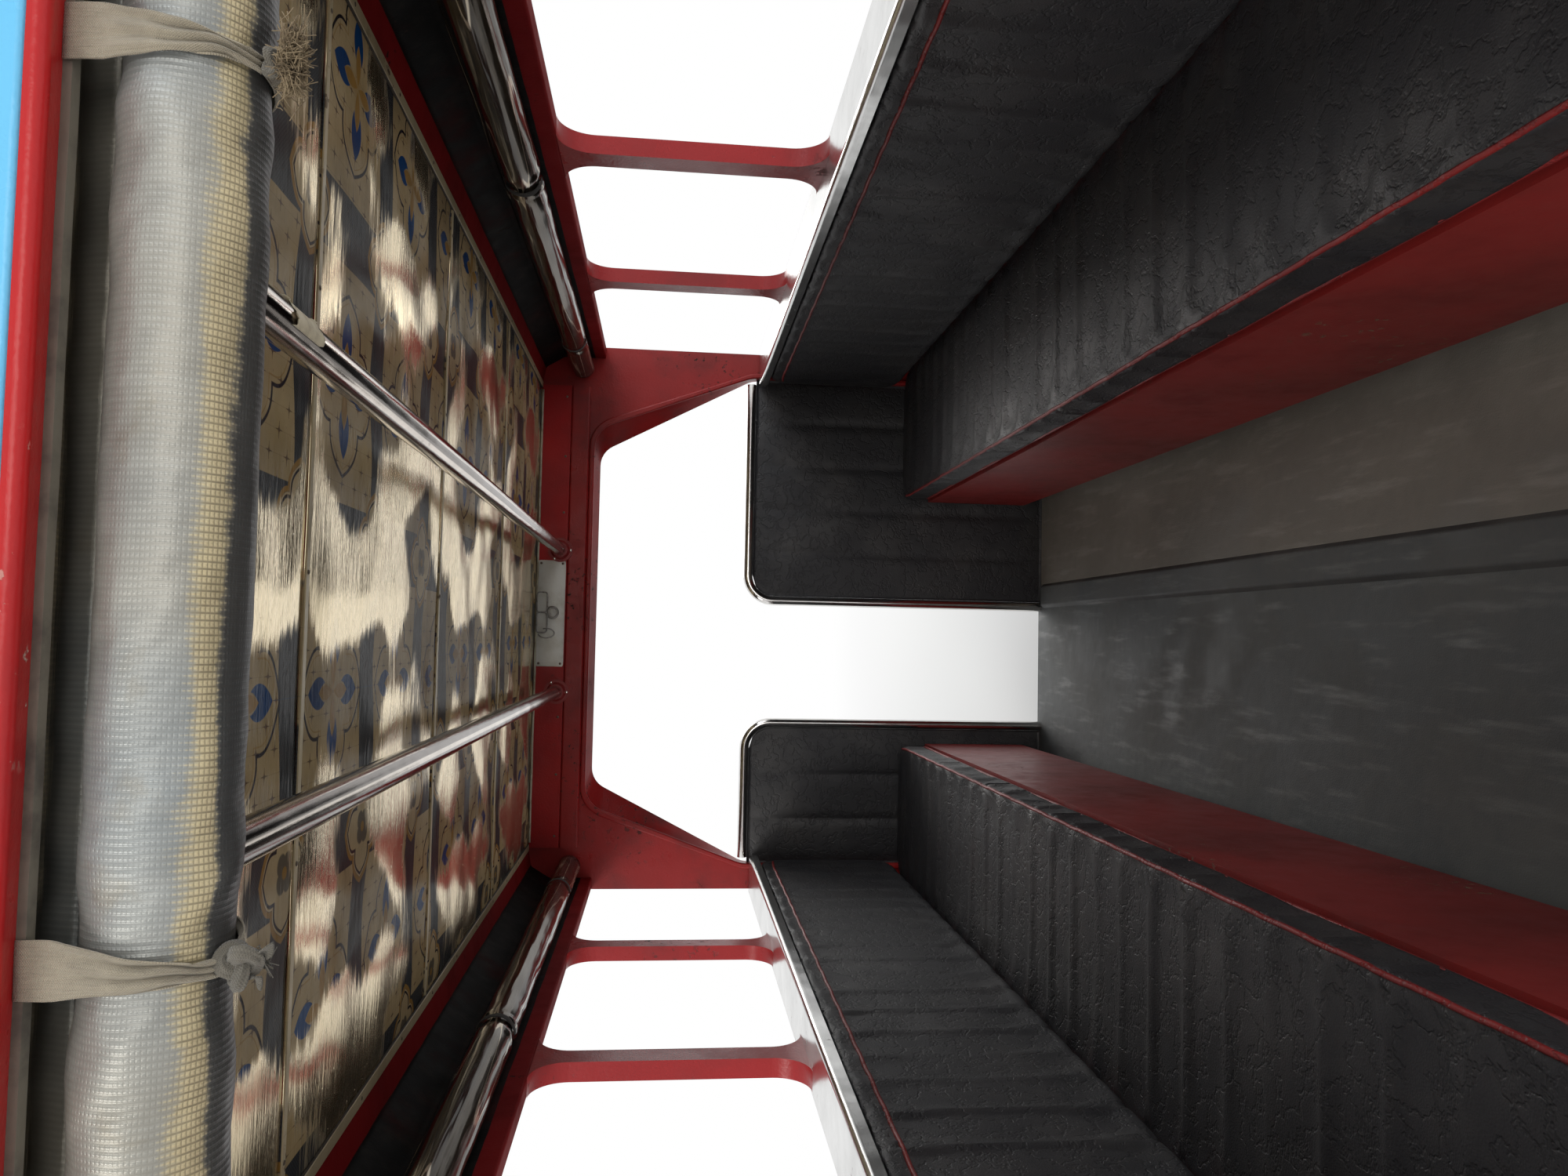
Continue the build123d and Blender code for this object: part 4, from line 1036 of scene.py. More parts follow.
@dataclass
class FrontBulkhead:
    """Red header board with its blank plate and wire lamp, splayed frame, padded partitions."""

    plate: tuple[float, float, float, float] = (-0.138, 0.142, -0.076, -0.004)
    corner: float = 0.0572
    channel: float = 0.118
    wire: float = 0.0020
    cup: Outline = ((0.0001, 0.0), (0.0165, 0.0), (0.0175, 0.002), (0.0160, 0.007), (0.0135, 0.0085),
                    (0.0131, 0.0070), (0.0001, 0.0068))
    glass: Outline = ((0.0130, 0.0070), (0.0128, 0.0095), (0.0108, 0.0135), (0.0070, 0.0165),
                      (0.0030, 0.0178), (0.0001, 0.0180))

    def lamp(self, looks: Looks, y: float, top: float) -> None:
        """A small round glass in a cup, behind a bent wire guard of two joined loops."""
        middle = np.array([0.004, y - 0.010, top - 0.030])
        t = np.linspace(0, TURN, 97)
        guard = Mesh()
        for shift in (-0.0265, 0.0265):
            loop = together(shift + 0.0262 * squared(np.cos(t), 0.35), -0.006,
                            0.011 + 0.0135 * squared(np.sin(t), 0.35))
            guard.tube(middle + loop, self.wire, up=(0, 1, 0))
        t = np.linspace(0.15, 1.62 * math.pi, 60)
        hook = together(-0.0545 - 0.0125 * np.sin(t), -0.005 + 0.002 * np.cos(2 * t),
                        -0.001 + 0.0205 * np.cos(t))
        guard.tube(middle + hook, 0.0017, up=(0, 1, 0))
        for shift in (-0.0530, 0.0530, 0.0):
            leg = together(shift, -0.006 + np.linspace(0, 0.0155, 8), 0.011)
            guard.tube(middle + leg, self.wire)
        guard.piece("lamp_guard", looks["wire"], "bright_tube")
        base = middle + (0.0, 0.0090, -0.014)
        for name, profile, look, slot in (("lamp_cup", self.cup, "wire", "bright_tube"),
                                          ("lamp_glass", self.glass, "glass", "curtain_clear")):
            Mesh().turned(np.array(profile), base, (0, -1, 0), 28).piece(name, looks[look], slot)

    def build(self, looks: Looks) -> None:
        """Dresses the steel, hangs the plate and lamp, and pads both partitions."""
        dress(looks, board_red="bulkhead_header_board", frame="bulkhead_frame", tube="partition_frames")
        low, high = edges_of("bulkhead_header_board")
        y, top = low[1], high[2]
        left, right, foot, head = self.plate
        half_x, half_z = (right - left) / 2, (head - foot) / 2
        centre_x, centre_z = (left + right) / 2, top + (foot + head) / 2
        outline = rounded(half_x, half_z, 26.0, 96)
        rings = []
        for out, inset, bow in ((0.0014, 0.0006, 0.0012), (0.0010, 0.0, 0.0012), (0.0, 0.0, 0.0)):
            ring = outline * (1 - inset / half_z)
            bulge = bow * np.cos(outline[:, 0] / half_x * 2.2)
            rings.append(together(centre_x + ring[:, 0], y - out - bulge, centre_z + ring[:, 1]))
        Mesh().loft(np.array(rings)).piece("blank_plate", looks["plate"], "cream_trim")
        spots = [(centre_x + way_x * (half_x - 0.008), y - 0.0016, centre_z + way_z * (half_z - 0.008))
                 for way_x in (-1, 1) for way_z in (-1, 1)]
        spots += [(x, y, top - 0.066) for x in (-0.58, -0.42, -0.27, 0.27, 0.42, 0.58)]
        Mesh().turned(dome(0.0033, 0.0016), spots, (0, -1, 0)).piece(
            "board_screws", looks["rust"], "runner_paint")
        self.lamp(looks, y, top)
        for side in ("left", "right"):
            self.pad(side, looks)

    def pad(self, side: str, looks: Looks) -> None:
        """Upholstered panel: each face crowns by a product of flattened parabolas, drawn in at its seams."""
        low, high = edges_of(f"partition_{side}")
        middle, half = (low + high) / 2, (high - low) / 2
        s, t = np.meshgrid(np.linspace(-1, 1, 72), np.linspace(-1, 1, 84), indexing="ij")
        up = half[2] * t
        over = self.corner - np.minimum(half[2] - up, self.corner)
        cut = self.corner - np.sqrt(np.maximum(self.corner ** 2 - over ** 2, 0))
        edge_low = -half[0] + cut * (side == "right")
        edge_high = half[0] - cut * (side == "left")
        across = edge_low + (edge_high - edge_low) * (s + 1) / 2
        crown = (1 - np.abs(s) ** 6) * (1 - np.abs(t) ** 8)
        width = self.channel / 2
        seams = np.clip(np.abs((across + half[0]) % self.channel - width) / width, 0, 1) ** 6
        ripple = 0.0006 * waves(8, (0.2, 0.13, 0.07), across, up) * crown
        thick = 0.0055 + crown * (0.0105 - 0.0058 * seams) + ripple
        front, back = (together(middle[0] + across, middle[1] + way * thick, middle[2] + up).reshape(-1, 3)
                       for way in (-1, 1))
        grid = np.arange(s.size).reshape(s.shape)
        rim = np.concatenate([grid[:, 0], grid[-1, 1:], grid[-2::-1, -1], grid[0, -2:0:-1]])
        after = np.roll(rim, -1)
        walls = together(rim, after, after + s.size, rim + s.size)[:, ::-1]
        faces = np.concatenate([quads(*s.shape), quads(*s.shape)[:, ::-1] + s.size, walls])
        made = Mesh().add(np.concatenate([front, back]), faces).piece(
            f"partition_pad_{side}", looks["seat"], "seat_vinyl", replaces=[f"partition_{side}"])


@dataclass
class RearFrame:
    """Fascia, header, posts, end panels, grab bars, lamps and step of the doorway."""

    tread_top: float = 0.060
    lug_pitch: float = 0.030
    lug_levels: Outline = ((1.0, 0.0), (0.72, 0.0011), (0.02, 0.0015))
    bezel: Outline = ((0.0004, 0.0), (0.0085, 0.0), (0.0085, 0.004), (0.0060, 0.0105), (0.0022, 0.0128),
                      (0.0004, 0.0120))

    def build(self, looks: Looks) -> None:
        """Dresses the frame and adds lamp bezels, step treads and screws."""
        dress(looks, blue="rear_fascia", red_edge="rear_fascia_edge",
              red="rear_header_beam rear_post_left rear_post_right rear_panel_left rear_panel_right",
              mirror="rear_header_soffit", tube="rear_grab_bars", lens="rear_lamps", plate_steel="rear_step")
        low, high = edges_of("rear_lamps")
        radius, z = (high[2] - low[2]) / 2, (low[2] + high[2]) / 2
        out, deep = np.array(self.bezel).T
        angle = np.linspace(0, TURN, 64, endpoint=False)[:, None]
        mesh = Mesh()
        for way in (-1, 1):
            rows = together(way * (high[0] - radius) + (radius + out) * np.cos(angle), high[1] - deep,
                            z + (radius + out) * np.sin(angle))
            mesh.add(rows, quads(*rows.shape[:2], round_rows=True, round_columns=True))
        mesh.piece("lamp_bezels", looks["tube"], "bright_tube")
        self.treads(looks)
        self.screws(looks)

    def treads(self, looks: Looks) -> None:
        """Raised lozenge lugs in two headings over the step, as on tread plate."""
        low, high = edges_of("rear_step")
        xs, ys = np.meshgrid(np.arange(low[0] + 0.10, high[0] - 0.085, self.lug_pitch),
                             np.arange(low[1] + 0.022, low[1] + 0.245, self.lug_pitch), indexing="ij")
        heading = (((np.indices(xs.shape).sum(axis=0) % 2).ravel() * 2.0 - 1.0) * math.pi / 4)[:, None]
        angle = np.linspace(0, TURN, 10, endpoint=False)
        rings = []
        for share, rise in self.lug_levels:
            a, b = 0.0115 * share * np.cos(angle), 0.0034 * share * np.sin(angle)
            rings.append(together(xs.ravel()[:, None] + a * np.cos(heading) - b * np.sin(heading),
                                  ys.ravel()[:, None] + a * np.sin(heading) + b * np.cos(heading),
                                  self.tread_top + rise - 0.0002))
        mesh = Mesh()
        for lug in np.stack(rings, axis=1):
            mesh.loft(lug)
        mesh.piece("step_lugs", looks["plate_steel"], "stainless")

    @staticmethod
    def screws(looks: Looks) -> None:
        """Domed heads along the fascia, and on the end panels."""
        spots = [(x, edges_of("rear_fascia")[0][1] - 0.0001, 1.592) for x in np.arange(-0.66, 0.67, 0.165)]
        spots += [(way * x, edges_of("rear_panel_right")[0][1], z) for way in (-1, 1) for x in (0.37, 0.60)
                  for z in (0.24, 0.52, 0.93 if x > 0.5 else 0.78)]
        Mesh().turned(dome(0.0052, 0.0026), spots, (0, -1, 0), 14).piece(
            "doorway_screws", looks["rust"], "runner_paint")


@dataclass
class Shell:
    """Underframe, floor, outer walls, sills, posts, cantrails and roof."""

    rivet_pitch: float = 0.085
    gutter: tuple[float, float] = (0.7223, 1.5585)
    sill: tuple[float, float] = (0.7320, 0.977)

    def build(self, looks: Looks) -> None:
        """Dresses the shell and rivets its gutters and sills."""
        dress(looks, black="underframe_runners underframe_crossmembers wheel_housings",
              floor_dark="floor_sheet_left floor_seam", floor_pale="floor_sheet_right",
              wall="side_wall_left side_wall_right", sill="window_sill_left window_sill_right",
              red="window_posts roof_bows", cove="cantrail_left cantrail_right", zinc="roof_skin")
        low, high = edges_of("roof_skin")
        y = np.arange(low[1] + 0.05, high[1] - 0.02, self.rivet_pitch)
        mesh = Mesh()
        for way in (-1, 1):
            for (out, z), places, head in ((self.gutter, y, dome(0.0042, 0.0018)),
                                           (self.sill, y[:-1], dome(0.0038, 0.0016))):
                mesh.turned(head, together(way * out, places, z), (way, 0, 0))
        mesh.piece("shell_rivets", looks["tube"], "bright_tube")


@dataclass
class RolledCurtain:
    """A curtain rolled up on itself: one sheet wound as a spiral, squeezed where it is tied.

    The head is where the sheet leaves its carrier, outwards and up from the roll's middle. Pitch
    is the radius that one turn takes, ruffle the swells' height, tight the depth of a squeeze and
    proud how far the cloth stands off the CAD roll. Facets are counted in one turn.
    """

    node: str
    carrier: str
    name: str
    slot: str
    along: int
    pitch: float
    turns: float
    thickness: float
    head: tuple[float, float]
    squeezes: tuple[float, ...]
    ruffle: float = 0.0007
    seed: int = 1
    way: float = 1.0
    tight: float = 0.0016
    proud: float = 0.0006
    stations: int = 84
    facets: int = 34

    def near(self, s: Array, reach: float, power: float) -> Array:
        """Sum of bells about the ties: 1 at each, falling over reach, with flat tops for a high power."""
        return sum((np.exp(-np.abs((s - spot) / reach) ** power) for spot in self.squeezes), np.zeros_like(s))

    def build(self, finish: bpy.types.Material) -> bpy.types.Object:
        """Winds the sheet.

        The sheet comes down from its head and meets the roll on a tangent. From there the
        spiral's radius falls by the pitch each turn. It is scaled by one factor of the angle
        and the place along the roll, the same in every layer, so that layers nest: a slight
        oval, seeded ruffles, slanting folds that start at each tie, and a squeeze under it.

        Args:
            finish: The cloth's material.

        Returns:
            The rolled sheet.
        """
        low, high = edges_of(self.node)
        flat = 1 - self.along
        radius = (high[flat] - low[flat]) / 2 + self.proud
        middle, level = (low[flat] + high[flat]) / 2, low[2] + radius - self.proud
        start, stop = low[self.along] + 0.001, high[self.along] - 0.001
        close = [spot + np.linspace(-0.036, 0.036, 13) for spot in self.squeezes]
        s = np.unique(np.round(np.concatenate([np.linspace(start, stop, self.stations), *close]), 5))
        s = s[(s >= start) & (s <= stop)]
        phi = np.linspace(0, self.turns * TURN, int(self.turns * self.facets))
        spiral = radius - self.pitch * phi / TURN
        S, P = np.meshgrid(s, phi, indexing="ij")
        squeeze = self.near(S, 0.021, 4.0)
        ripple = waves(self.seed, (0.30, 0.19, 0.11, 0.08, 0.055), S, 0.075 * np.cos(P), 0.075 * np.sin(P))
        away = np.min([np.abs(S - spot) for spot in self.squeezes], axis=0)
        folds = np.sin(away * (TURN / 0.052) + 2.3 * P + S * 9) * self.near(S, 0.11, 2.0) * 0.9
        swell = self.ruffle * ((ripple + folds) * (1 - squeeze) - 1.0) - 0.0003 * (1 + np.cos(2 * P + 0.6))
        reach = spiral[None, :] * (1 + (swell - self.tight * squeeze) / radius)
        distance = math.hypot(*self.head)
        meet = math.atan2(self.head[1], self.head[0]) - math.acos(radius / distance)
        out = (S - (low[self.along] + high[self.along]) / 2) / (stop - start) * 2
        ends = 0.0045 * np.abs(out) ** 40 * np.sign(out) * (np.sin(P / 3.0 + self.seed) - 1)
        axes = [self.along, flat, 2]
        wound = np.empty((*S.shape, 3))
        wound[..., axes] = together(S + ends, middle + self.way * reach * np.cos(meet - P),
                                    level + reach * np.sin(meet - P))
        top = wound[:, :1].copy()
        top[..., axes[1:]] = middle + self.way * self.head[0], level + self.head[1]
        share = np.linspace(0, 1, 8)[None, :-1, None]
        points = np.concatenate([top + (wound[:, :1] - top) * share, wound], axis=1)
        lead = math.sqrt(distance ** 2 - radius ** 2)
        length = lead + np.concatenate([[0], np.cumsum(np.hypot(np.diff(spiral), spiral[1:] * np.diff(phi)))])
        length = np.concatenate([lead * share[0, :, 0], length])
        made = Mesh().add(points, quads(*points.shape[:2]), together(s[:, None] - start, length)).piece(
            self.name, finish, self.slot, replaces=[self.node], sheet=self.thickness)
        LOG.info("%s: sheet %.3f by %.3f m", self.name, stop - start, length[-1])
        return made


@dataclass
class Ties:
    """Four cotton tapes from behind the red edge, round the roll and knotted under it.

    Neck is the tape's width where it is gathered, clear its distance from the roll's middle. Knots
    are the half widths of a plain, a frayed and a worn one, threads and fans those of a large and
    a small fray.
    """

    width: float = 0.0238
    neck: float = 0.0070
    thickness: float = 0.0009
    knots: Triple = (0.0158, 0.0105, 0.0078)
    threads: tuple[int, int] = (640, 10)
    places: tuple[float, ...] = (-0.560, -0.1930, 0.1860, 0.560)
    clear: float = 0.0307
    knot_way: float = math.radians(251.3)
    section: Outline = ((0.0012, 0.0046), (0.0010, 0.0), (0.0058, -0.0009), (0.0058, -0.0002),
                        (0.0020, 0.0006), (0.0020, 0.0046))
    frayed: int = 2
    worn: tuple[Triple, ...] = ((-0.008, 0.001, -0.0060), (0.001, 0.0, -0.0070), (0.009, 0.001, -0.0055))
    fans: tuple[Triple, Triple] = ((0.0066, 0.0036, 0.0022), (0.003, 0.002, 0.002))

    def strip(self, path: Array, x: float, bunch: Array, seed: int) -> tuple[Array, Array]:
        """A tape along a path in Y and Z, gathered into pleats where it is narrow.

        Across the tape, x runs over the narrowed width and the tape rises by a sine of two
        pleats and a half, high enough that the cloth keeps its full width.

        Args:
            path: Rows of (y, z).
            x: The middle of the tape at its top.
            bunch: 0 for full width to 1 for fully gathered, one a row.
            seed: For the pleats' irregularity.

        Returns:
            Points and their map.
        """
        run = run_along(path)
        tangent = unit(np.gradient(path, axis=0))
        wide = (self.width + (self.neck - self.width) * bunch)[:, None]
        rise = np.sqrt(np.maximum(self.width ** 2 - wide ** 2, 0)) / 10.5
        T, R = np.meshgrid(np.linspace(-0.5, 0.5, 33), run)
        wobble = waves(seed, (0.05, 0.03), R) * 0.16
        pleat = (1 - np.cos((T + 0.5 + wobble * bunch[:, None]) * TURN * 2.5)) * rise * 0.50
        pleat = pleat + 0.00035 * waves(seed + 1, (0.030, 0.019, 0.013), T * self.width, R)
        skew = 0.0010 * waves(seed + 2, (0.11,), run)[:, None]
        (y, z), (ahead_y, ahead_z) = path.T[..., None], tangent.T[..., None]
        points = together(x + skew + T * wide, y + ahead_z * pleat, z - ahead_y * pleat)
        return points, together(T * self.width, R)

    def knot(self, mesh: Mesh, centre: Array, size: float, seed: int) -> None:
        """An overhand knot of gathered tape.

        The line is a trefoil. Its section is a flattened ring with six pleats that wind
        slowly round it, and with lumps and hollows from seeded waves along both ways.

        Args:
            mesh: The mesh to add to.
            centre: The knot's middle.
            size: Half its width.
            seed: For its turn and its lumps.
        """
        t, around = np.meshgrid(np.linspace(0, TURN, 150, endpoint=False),
                                np.linspace(0, TURN, 40, endpoint=False), indexing="ij")
        line = together(np.sin(t) + 2 * np.sin(2 * t), 0.9 * np.sin(3 * t), np.cos(t) - 2 * np.cos(2 * t))
        draw = np.random.default_rng(seed)
        tilt = Matrix.Rotation(draw.uniform(-0.6, 0.6), 3, "X") @ Matrix.Rotation(draw.uniform(0, 3), 3, "Y")
        line = line @ np.array(tilt).T * size / 6.4
        tangent = unit(np.roll(line, -1, axis=0) - np.roll(line, 1, axis=0))
        first = unit(np.cross(tangent, line + (0, 1e-4, 0)))
        loop = np.sin(t)
        lumps = 0.16 * waves(seed, (1.9, 1.1, 0.7), t)
        lumps = lumps + 0.05 * waves(seed + 3, (0.5, 0.33), 3 * loop, np.cos(around))
        pleats = 0.10 * np.cos(6 * around + 2.5 * loop) + 0.05 * np.cos(13 * around - loop)
        reach = size * 0.235 * (1 + lumps + pleats)
        out = first * np.cos(around)[..., None] * 0.72 + np.cross(first, tangent) * np.sin(around)[..., None]
        mesh.add(centre + line + out * reach[..., None], quads(*t.shape, round_rows=True, round_columns=True),
                 together(around * 0.0022, t * size * 0.9))

    def tail(self, mesh: Mesh, start: Array, drop: float, lean: float, seed: int) -> None:
        """A short end of the tape: a folded strip that hangs, twists a little and narrows to its fray."""
        t = np.linspace(0, 1, 22)
        line = start + together(lean * t, -0.003 * np.sin(2.2 * t), -drop * t)
        twist = 0.4 + 1.6 * t + seed
        half = 0.0042 * (1 - 0.3 * t)
        facing = together(-np.sin(twist), np.cos(twist), 0)[:, None]
        side = together(np.cos(twist) * half, np.sin(twist) * half, 0)[:, None]
        across = np.linspace(-1, 1, 9)
        points = line[:, None] + across[:, None] * side + 0.0014 * across[:, None] ** 2 * facing
        loop = np.concatenate([points, (points + 0.0011 * facing)[:, ::-1]], axis=1)
        mesh.loft(loop, together(np.concatenate([across, across[::-1]]) * 0.0046, (t * drop)[:, None]))

    def fray(self, mesh: Mesh, start: Array, count: int, seed: int, spread: Array) -> None:
        """Loose threads: thin tubes that fan out by the given spread and curl."""
        draw = np.random.default_rng(seed)
        t = np.linspace(0, 1, 9)[:, None]
        for _ in range(count):
            heading = draw.normal(size=3) * spread - (0, 0, 0.0015)
            bend = draw.normal(size=3) * 0.6 * spread
            curl = draw.normal(size=3) * 0.0021
            line = start + draw.normal(size=3) * spread * 0.35 + heading * t
            mesh.tube(line + bend * t ** 2 + curl * np.sin(11 * t), 0.00022, 5, (0.31, 1.0, 0.13))

    def build(self, looks: Looks) -> None:
        """Runs each tape down the roll's outer side to the knot, and from there round behind it."""
        low, high = edges_of("rear_curtain_roll")
        reach = (high[1] - low[1]) / 2
        middle = np.array([(low[1] + high[1]) / 2, low[2] + reach])
        edge, soffit = edges_of("rear_fascia_edge")[1][1], edges_of("rear_header_soffit")[0][2]
        nail = np.array([edge - 0.0022, soffit + 0.0031])
        hook = np.array([0.0205, high[2] - middle[1] - 0.0004])
        straps, knots, worn, length = Mesh(), Mesh(), Mesh(), 0.0
        for index, x in enumerate(self.places):
            knot_at = np.array([x - 0.0012, *(middle + (self.clear + 0.0085) * self.turn(self.knot_way))])
            lead = self.around(nail - middle, 1.0, self.knot_way) + middle
            share = self.share(lead)
            points, uv = self.strip(lead, x, np.clip((share - 0.20) / 0.66, 0, 1) ** 0.9, 40 + index)
            points[..., 0] += (knot_at[0] - x) * share[:, None] ** 3
            straps.add(points, quads(*points.shape[:2]), uv)
            rise = self.around(hook, -1.0, self.knot_way)[::-1] + middle
            share = self.share(rise)
            points, uv = self.strip(rise, x, np.clip(1 - share / 0.5, 0, 1) ** 0.85, 60 + index)
            straps.add(points, quads(*points.shape[:2]), uv)
            length += sum(float(run_along(path)[-1]) for path in (lead, rise))
            if index == self.frayed:
                self.knot(knots, knot_at, self.knots[1], 70 + index)
                for step, place in enumerate(self.worn):
                    self.knot(worn, knot_at + place, self.knots[2], 95 + step)
                start = knot_at + (0.001, -0.001, -0.0055)
                self.fray(worn, start, self.threads[0], 90, np.array(self.fans[0]))
                continue
            self.knot(knots, knot_at, self.knots[0], 70 + index)
            for way in (-1, 1):
                start = knot_at + (way * 0.003, 0.003, -0.004)
                self.tail(knots, start, 0.008 + 0.002 * way, way * 0.004, index)
            start = knot_at + (0, 0.003, -0.009)
            self.fray(knots, start, self.threads[1], 80 + index, np.array(self.fans[1]))
        tape = straps.piece("curtain_ties", looks["tape_cloth"], "tie_cloth", replaces=["rear_curtain_ties"],
                            sheet=self.thickness)
        tied = knots.piece("tie_knots", looks["knot_cloth"], "tie_cloth")
        worn.piece("frayed_ends", looks["fray"], "tie_cloth")
        self.hem(nail, looks)

    @staticmethod
    def turn(angle: float) -> Array:
        """The direction of an angle in the roll's section."""
        return np.array([math.cos(angle), math.sin(angle)])

    @staticmethod
    def share(path: Array) -> Array:
        """How far along a path each point lies, from 0 to 1."""
        return run_along(path) / run_along(path)[-1]

    def around(self, top: Array, way: float, stop: float) -> Array:
        """A taut line from a point onto the roll on its tangent, then round it to an angle.

        Args:
            top: The point, from the roll's middle.
            way: 1 to go down the outer side, -1 down the inner side.
            stop: The angle at which the line ends.

        Returns:
            Points from the top to the end, as (y, z) from the roll's middle.
        """
        meet = math.atan2(top[1], top[0]) + way * math.acos(self.clear / float(np.hypot(*top)))
        end = stop if way > 0 else stop - TURN
        angle = np.linspace(meet, end, 34)
        arc = self.clear * together(np.cos(angle), np.sin(angle))
        return np.concatenate([top + (arc[0] - top) * np.linspace(0, 1, 12)[:-1, None], arc])

    def hem(self, nail: Array, looks: Looks) -> None:
        """Dull strip under the red edge that holds the tapes: an L section, slightly wavy."""
        x = np.linspace(-0.636, 0.636, 160)[:, None]
        low = edges_of("rear_header_soffit")[0][2]
        out, up = np.array(self.section).T
        points = together(x, nail[0] + out + 0.00035 * waves(4, (0.4, 0.13, 0.07), x), low - 0.0002 + up)
        Mesh().loft(points).piece("curtain_hem", looks["dusty"], "stainless", smooth=False)


@dataclass
class Bench:
    """Long cushion and back of one side, puffed between sewn channels, with piping and board.

    Seam is a channel's half width and depth.
    """

    channel: float = 0.0935
    inset: float = 0.007
    sections: int = 276
    frames: int = 20
    pressure: float = 4.0
    seam: tuple[float, float] = (0.0060, 0.0050)
    piping: float = 0.0032

    def inflate(self, points: Array, pinned: Array, cap: float) -> Array:
        """Lets cloth puff out from a closed skin that is held at its seams.

        Args:
            points: The skin, sections by profile points by 3.
            pinned: How firmly each point is held, from 0 to 1.
            cap: The most that a point may move, in metres.

        Returns:
            The puffed points, in the same order.
        """
        data = bpy.data.meshes.new("skin")
        data.from_pydata(points.reshape(-1, 3), [], capped(*points.shape[:2]))
        skin = placed("skin", data)
        held = skin.vertex_groups.new(name="held")
        firm = np.round(pinned.ravel(), 2)
        for weight in np.unique(firm):
            held.add(np.flatnonzero(firm == weight).tolist(), float(weight), "REPLACE")
        cloth = skin.modifiers.new("cloth", "CLOTH")
        sewn = cloth.settings
        sewn.vertex_group_mass, sewn.quality, sewn.bending_stiffness = "held", 4, 0.4
        sewn.use_pressure, sewn.uniform_pressure_force = True, self.pressure
        sewn.effector_weights.gravity = 0.0
        cloth.point_cache.frame_start, cloth.point_cache.frame_end = 1, self.frames
        for step in range(1, self.frames + 1):
            bpy.context.scene.frame_set(step)
        after = skin.evaluated_get(bpy.context.evaluated_depsgraph_get()).to_mesh()
        flat = np.zeros(len(after.vertices) * 3, np.float32)
        after.vertices.foreach_get("co", flat)
        bpy.data.objects.remove(skin)
        bpy.data.meshes.remove(data)
        bpy.context.scene.frame_set(1)
        move = flat.reshape(points.shape) - points
        size = np.linalg.norm(move, axis=-1, keepdims=True)
        return points + move * np.minimum(1, cap / np.maximum(size, 1e-9))

    def skin(self, low: Array, high: Array, count: int, power: float) -> tuple[Array, Array]:
        """A long rounded box between two corners: superellipse sections, drawn in at both ends."""
        middle, half = (low + high) / 2, (high - low) / 2
        loop = rounded(1.0, 1.0, power, count)
        y = np.linspace(-1, 1, self.sections)[:, None]
        ends = 0.80 + 0.20 * (1 - np.abs(y) ** 60) ** 0.5
        return middle + half * together(loop[:, 0] * ends, y, loop[:, 1] * ends), loop

    def build(self, looks: Looks) -> None:
        """Makes the right bench and its mirror on the left."""
        dress(looks, board="bench_base_left bench_base_right")
        pads = {"cushion": self.pad("cushion", 7.0, 0.010), "back": self.pad("back", 6.0, 0.008)}
        for side, way in (("right", 1.0), ("left", -1.0)):
            for part, (points, loop) in pads.items():
                self.upholster(f"bench_{part}_{side}", points * (way, 1, 1), loop, way, looks)

    def pad(self, part: str, power: float, cap: float) -> tuple[Array, Array]:
        """One puffed pad of the right side, pressed in at its sewn channels.

        Args:
            part: Cushion or back.
            power: The section's power, higher for squarer edges.
            cap: The most that the cloth may puff, in metres.

        Returns:
            The pad's points and its section.
        """
        flat = part == "cushion"
        low, high = edges_of(f"bench_{part}_right")
        inset = np.array([self.inset, 0.001, self.inset * 0.6])
        start, stop = low + inset, high - inset
        stop[0] = high[0] - 0.001
        if flat:
            start[2] = low[2]
        points, loop = self.skin(start, stop, 64, power)
        across, up = loop.T
        run = points[:, 0, 1] - points[0, 0, 1]
        offset = np.abs((run + self.channel / 2) % self.channel - self.channel / 2)
        seam = np.clip(1 - offset / self.seam[0], 0, 1)[:, None]
        face, away = (up > -0.55, up < -0.9) if flat else (across < 0.55, across > 0.9)
        depth = seam * face * self.seam[1]
        points[..., 0] -= depth * np.sign(across) * (np.abs(across) > 0.9)
        points[..., 2] -= depth * np.sign(up) * (np.abs(up) > 0.9)
        pinned = np.maximum(seam * face, away.astype(float))
        pinned[:2], pinned[-2:] = 1.0, 1.0
        puffed = self.inflate(points, pinned, cap)
        puffed = np.clip(puffed, low + (-0.004, 0.0, 0.0), high + (-0.0004, 0.0, 0.004))
        LOG.info("bench %s puffed by up to %.1f mm", part, 1000 * np.abs(puffed - points).max())
        return puffed, loop

    def upholster(self, node: str, points: Array, loop: Array, way: float, looks: Looks) -> None:
        """Skins one pad and lays piping along the edges that show, on the pad's own rows of points.

        Args:
            node: The pad's CAD node.
            points: Its puffed skin.
            loop: Its section.
            way: 1 on the right and -1 on the left, which is mirrored.
            looks: The finishes.
        """
        if way < 0:
            points, loop = points[:, ::-1], loop[::-1]
        pad = Mesh().loft(points[:, ::-1]).piece(f"{node}_pad", looks["seat"], "seat_vinyl", replaces=[node])
        mesh = Mesh()
        for across, up in ((-0.95, 0.80), (-0.95, -0.72)) if "cushion" in node else ((-0.93, 0.83),):
            column = int(np.argmin((loop[:, 0] - across) ** 2 + (loop[:, 1] - up) ** 2))
            line = np.pad(points[3:-3, column], ((2, 2), (0, 0)), mode="edge").T
            mesh.tube(together(*(np.convolve(part, np.ones(5) / 5, "valid") for part in line)), self.piping)
        mesh.piece(f"{node}_piping", looks["piping"], "seat_vinyl")


